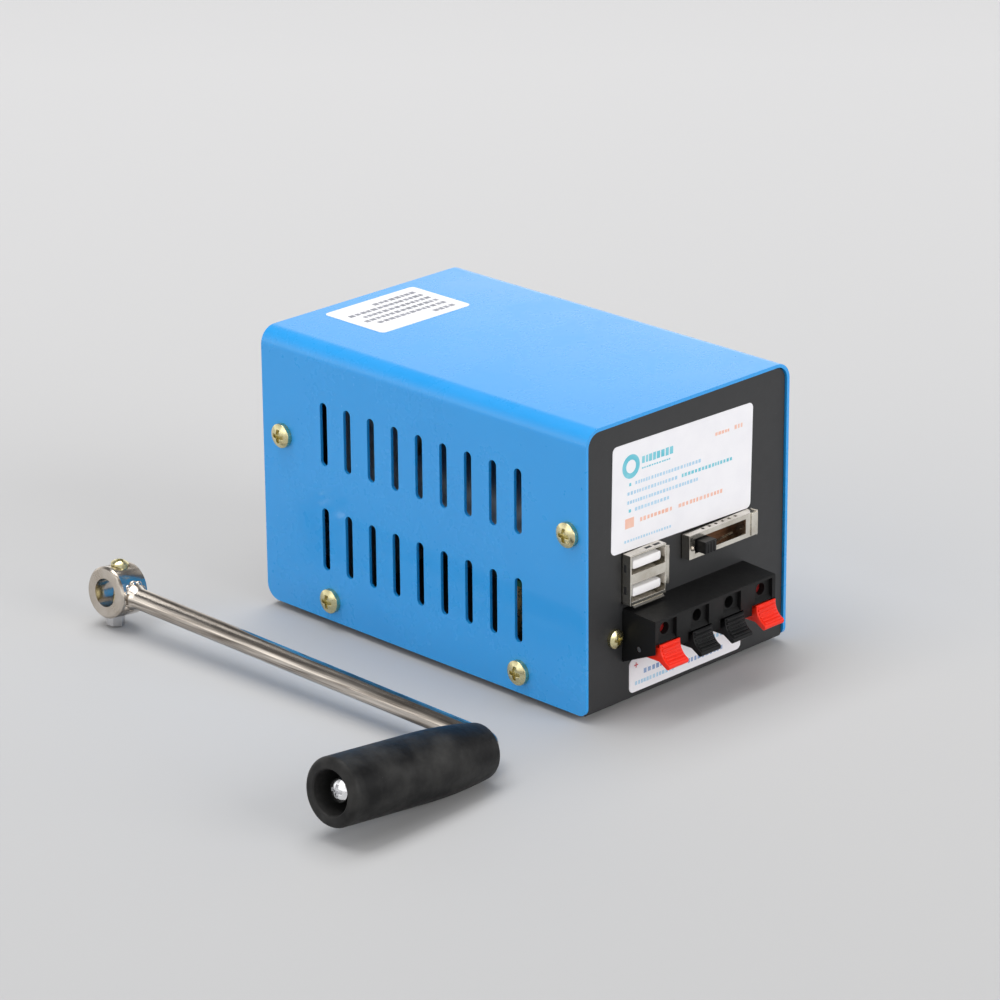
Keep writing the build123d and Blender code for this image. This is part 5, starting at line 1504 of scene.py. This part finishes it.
@dataclass
class CircuitBoard:
    """The regulator board with its components."""

    finishes: Finishes
    turns: int = 8
    coil_end: float = 2.4
    pin_joint: tuple[float, float] = (0.9, 0.5)
    pin_places: tuple[float, ...] = (-7.0, -2.0, 3.0, 11.0, 16.0)
    pin_setback: float = 3.5
    lead_joint: tuple[float, float] = (1.4, 1.0)
    lead_radius: float = 0.8

    def dress(self, nodes: dict[str, bpy.types.Object]) -> None:
        """Give the board, its posts and its components their finishes."""
        plan = {
            "circuit_board": "board_laminate",
            "board_standoffs": "spring_brass",
            "board_screws": "cut_steel",
            "capacitor": "cap_black",
            "choke": "ferrite_grey",
            "regulator": "knob_black",
        }
        self.finishes.dress(nodes, plan)

    def choke_coil(self) -> None:
        """Wind the choke's waist."""
        low, high = node_box("choke")
        middle = (low + high) / 2
        waist = (high.x - low.x) / 3
        pitch = (high.z - low.z - 2 * self.coil_end) / (self.turns - 1)
        piece = Piece("choke_coil")
        for index in range(self.turns):
            z = low.z + self.coil_end + index * pitch
            piece.ring(waist + pitch / 2, pitch / 2, Matrix.Translation((middle.x, middle.y, z)), 28, 8)
        piece.hand_over(self.finishes["choke_wire"], "housing")

    def joints(self) -> None:
        """Solder the leads, the adjuster's pins and the terminal tails to the board."""
        low, high = node_box("circuit_board")
        piece = Piece("solder_joints")
        for x in self.pin_places:
            piece.dome(*self.pin_joint, Matrix.Translation((x, low.y + self.pin_setback, high.z)))
        leads_low, leads_high = node_box("generator_leads")
        for x in (leads_low.x + self.lead_radius, leads_high.x - self.lead_radius):
            piece.dome(*self.lead_joint, Matrix.Translation((x, leads_low.y + self.lead_radius, high.z)))
        piece.hand_over(self.finishes["bright_nickel"], "housing")

    def build(self, nodes: dict[str, bpy.types.Object]) -> None:
        """Dress the board, wind the choke and add the solder."""
        self.dress(nodes)
        self.choke_coil()
        self.joints()


@dataclass
class Crank:
    """The crank that lies beside the box: hub, welded arm and turning grip."""

    finishes: Finishes
    works: SkinWorks
    hub_middle: tuple[float, float, float] = (-79.8, 81.0, 10.3434)
    roll: float = 6.8
    pitch: float = 1.44687
    yaw: float = 1.5
    hub_radius: float = 7.4
    weld_radius: float = 4.2
    weld_sink: float = 0.35
    weld_inset: float = 0.75
    weld_lumps: int = 11
    seed: int = 3

    def place(self) -> Matrix:
        """The crank's own frame: X along the hub, Y from the grip to the hub."""
        swing = Matrix.Rotation(radians(self.yaw), 4, "Z")
        lean = Matrix.Rotation(radians(self.pitch), 4, "X") @ Matrix.Rotation(radians(self.roll), 4, "Y")
        return Matrix.Translation(self.hub_middle) @ swing @ lean

    def dress(self, nodes: dict[str, bpy.types.Object]) -> None:
        """Give the hub, arm, bolt, nut, grip and screw their finishes."""
        plan = (
            Skin("crank_hub", "bright_nickel", 0.08),
            Skin("crank_arm", "drawn_nickel_painted_reflection", 0.0, 50.0),
            Skin("crank_nut", "cut_steel", 0.1),
            Skin("grip_screw", "white_zinc", 0.08),
            Skin("crank_bolt", "yellow_zinc", 0.08),
            Skin("grip", "grip_black", 0.15),
        )
        for skin in plan:
            self.works.redraw(nodes[skin.node], skin)

    def weld(self) -> None:
        """Lay the weld bead where the rod meets the hub, lump by lump."""
        piece = Piece("crank_weld_bead")
        dice = Random(self.seed)
        root = -((self.hub_radius**2 - self.weld_radius**2) ** 0.5) - self.weld_sink
        for step in range(self.weld_lumps):
            angle = 2 * pi * step / self.weld_lumps
            reach = self.weld_radius - self.weld_inset + dice.uniform(-0.15, 0.2)
            across, up = reach * cos(angle), reach * sin(angle)
            sag = root + dice.uniform(-0.15, 0.15)
            lump = Matrix.Translation((across, sag, up)) @ Matrix.Rotation(pi / 2, 4, "X")
            piece.dome(0.95 + dice.uniform(0.0, 0.3), 0.8 + dice.uniform(0.0, 0.35), lump)
        piece.hand_over(self.finishes["bright_nickel"], "crank", self.place(), 60.0)

    def build(self, nodes: dict[str, bpy.types.Object]) -> None:
        """Dress the crank and lay the weld."""
        self.dress(nodes)
        self.weld()


@dataclass
class Studio:
    """A pale floor, soft lights and the camera at the photograph's angle."""

    lens: float = 154.926
    sensor: float = 36.0
    azimuth: float = -45.024
    elevation: float = 20.7908
    roll: float = -0.4738
    position: tuple[float, float, float] = (-0.79587, -0.78621, 0.46142)
    floor_size: float = 14.0
    # near_floor and far_floor paint a light falloff across the floor: darker in front, brighter behind.
    near_floor: Colour = (0.445, 0.445, 0.447)
    far_floor: Colour = (0.60, 0.597, 0.60)
    near_edge: float = -0.35
    far_edge: float = 0.6
    ceiling: Colour = (0.13, 0.13, 0.135)
    horizon: Colour = (1.4, 1.4, 1.4)
    ceiling_height: float = 0.78
    zenith: Colour = (1.1, 1.1, 1.1)
    zenith_heights: tuple[float, float] = (0.82, 0.92)

    def floor(self, effects: Effects) -> None:
        """Lay the floor, pale, with painted light: darker near the camera and a little brighter towards the
        back.
        """
        work = bmesh.new()
        bmesh.ops.create_grid(work, x_segments=8, y_segments=8, size=self.floor_size / 2)
        data = bpy.data.meshes.new("studio_floor")
        work.to_mesh(data)
        work.free()
        tree = FinishTree("studio_floor", effects)
        away = tree.node("VectorMath", {1: (0.707, 0.707, 0.0)}, operation="DOT_PRODUCT")
        depth = tree.node("MapRange", {"From Min": self.near_edge, "From Max": self.far_edge})
        tree.join(tree.place, away.inputs[0])
        tree.join(away.outputs["Value"], depth.inputs["Value"])
        darker = tuple(0.98 * part for part in self.near_floor)
        near = tree.colour(self.near_floor, darker, scale=1.5, amount=0.6)
        # Painted light: the floor fades from the near colour to the brighter far colour, away from the
        # camera.
        tree.paint(tree.over(near, self.far_floor, depth.outputs["Result"]))
        tree.smudged(low=0.7, high=0.8, scale=3.0)
        tree.constants(Specular_IOR_Level=0.25)
        data.materials.append(tree.material)
        made = add_object("studio_floor", data)

    def lamp(self, name: str, place: Colour, size: tuple[float, float], power: float, aim: Colour) -> None:
        """Hang one soft rectangular light.

        Args:
            name: its name.
            place: where it hangs, in metres.
            size: its width and height, in metres.
            power: its power in watts.
            aim: the point that it faces.
        """
        data = bpy.data.lights.new(name, "AREA")
        data.shape = "RECTANGLE"
        data.size, data.size_y = size
        data.energy = power
        made = add_object(name, data)
        made.location = place
        made.rotation_euler = (Vector(aim) - Vector(place)).to_track_quat("-Z", "Y").to_euler()

    def lights(self) -> None:
        """Light the object softly from above and the front, with a weak light on the left."""
        self.lamp("soft_top", (0.0, 0.5, 2.2), (2.6, 1.0), 34.0, (0.0, 0.0, 0.0))
        self.lamp("soft_left", (-1.4, 0.2, 0.9), (1.0, 1.2), 4.5, (0.0, 0.0, 0.05))
        self.lamp("soft_front", (0.3, -1.7, 0.8), (1.2, 0.9), 13.5, (0.0, 0.0, 0.05))
        self.surroundings()

    def surroundings(self) -> None:
        """Surround the scene with pale walls, a darker ceiling and a pale patch straight above."""
        world = bpy.data.worlds.new("studio_world")
        bpy.context.scene.world = world
        world.use_nodes = True
        work = NodeWork(world.node_tree)
        direction = work.node("TexCoord")
        split = work.node("SeparateXYZ")
        height = work.node("MapRange", {"From Max": self.ceiling_height}, interpolation_type="SMOOTHSTEP")
        shades = {FIRST_COLOUR: (*self.horizon, 1.0), SECOND_COLOUR: (*self.ceiling, 1.0)}
        walls = work.node("Mix", shades, data_type="RGBA")
        lowest, highest = self.zenith_heights
        overhead = work.node("MapRange", {"From Min": lowest, "From Max": highest})
        whole = work.node("Mix", {SECOND_COLOUR: (*self.zenith, 1.0)}, data_type="RGBA")
        work.join(direction.outputs["Generated"], split.inputs["Vector"])
        work.join(split.outputs["Z"], height.inputs["Value"])
        work.join(split.outputs["Z"], overhead.inputs["Value"])
        work.join(height.outputs["Result"], walls.inputs[FACTOR])
        work.join(walls.outputs[MIXED_COLOUR], whole.inputs[FIRST_COLOUR])
        work.join(overhead.outputs["Result"], whole.inputs[FACTOR])
        work.join(whole.outputs[MIXED_COLOUR], work.tree.nodes["Background"].inputs["Color"])

    def camera(self) -> None:
        """Set the camera where the photograph was taken from."""
        turn, lift, roll = radians(self.azimuth), radians(self.elevation), radians(self.roll)
        back = Vector((sin(turn) * cos(lift), -cos(turn) * cos(lift), sin(lift)))
        right = (-back).cross(Vector((0.0, 0.0, 1.0))).normalized()
        up = right.cross(-back)
        level = right * cos(roll) + up * sin(roll)
        upright = -right * sin(roll) + up * cos(roll)
        data = bpy.data.cameras.new("studio_camera")
        data.sensor_width = self.sensor
        data.lens = self.lens
        data.clip_start = 0.01
        data.clip_end = 50.0
        made = add_object("studio_camera", data)
        columns = [level.to_4d(), upright.to_4d(), back.to_4d(), Vector((*self.position, 1.0))]
        for column in columns[:3]:
            column.w = 0.0
        made.matrix_world = Matrix(columns).transposed()
        bpy.context.scene.camera = made

    def build(self, effects: Effects) -> None:
        """Set up floor, lights, camera and plain view settings."""
        self.floor(effects)
        self.lights()
        self.camera()
        bpy.context.scene.view_settings.view_transform = "Standard"
        log.info("studio ready")


def main() -> None:
    """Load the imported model, dress it, add the pieces and set up the studio."""
    logging.basicConfig(level=logging.INFO, format="%(message)s")
    for old in list(bpy.data.objects):
        bpy.data.objects.remove(old)
    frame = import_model()
    nodes = frame["nodes"]
    finishes = Finishes()
    finishes.build()
    record = frame["record"]
    slots = {part["node"]: part["material_slot"] for part in record["subparts"]}
    works = SkinWorks(finishes, record["behaviour"]["bodies"], slots)
    parts = [
        Housing(finishes, works),
        Labels(finishes),
        UsbSocket(finishes, works),
        SlideAdjuster(finishes, works),
        TerminalBlock(finishes, works),
        Gearbox(finishes, works),
        Generator(finishes),
        CircuitBoard(finishes),
        Crank(finishes, works),
    ]
    for part in parts:
        part.build(nodes)
    Studio().build(finishes.effects)
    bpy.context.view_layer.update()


if __name__ == "__main__":
    main()
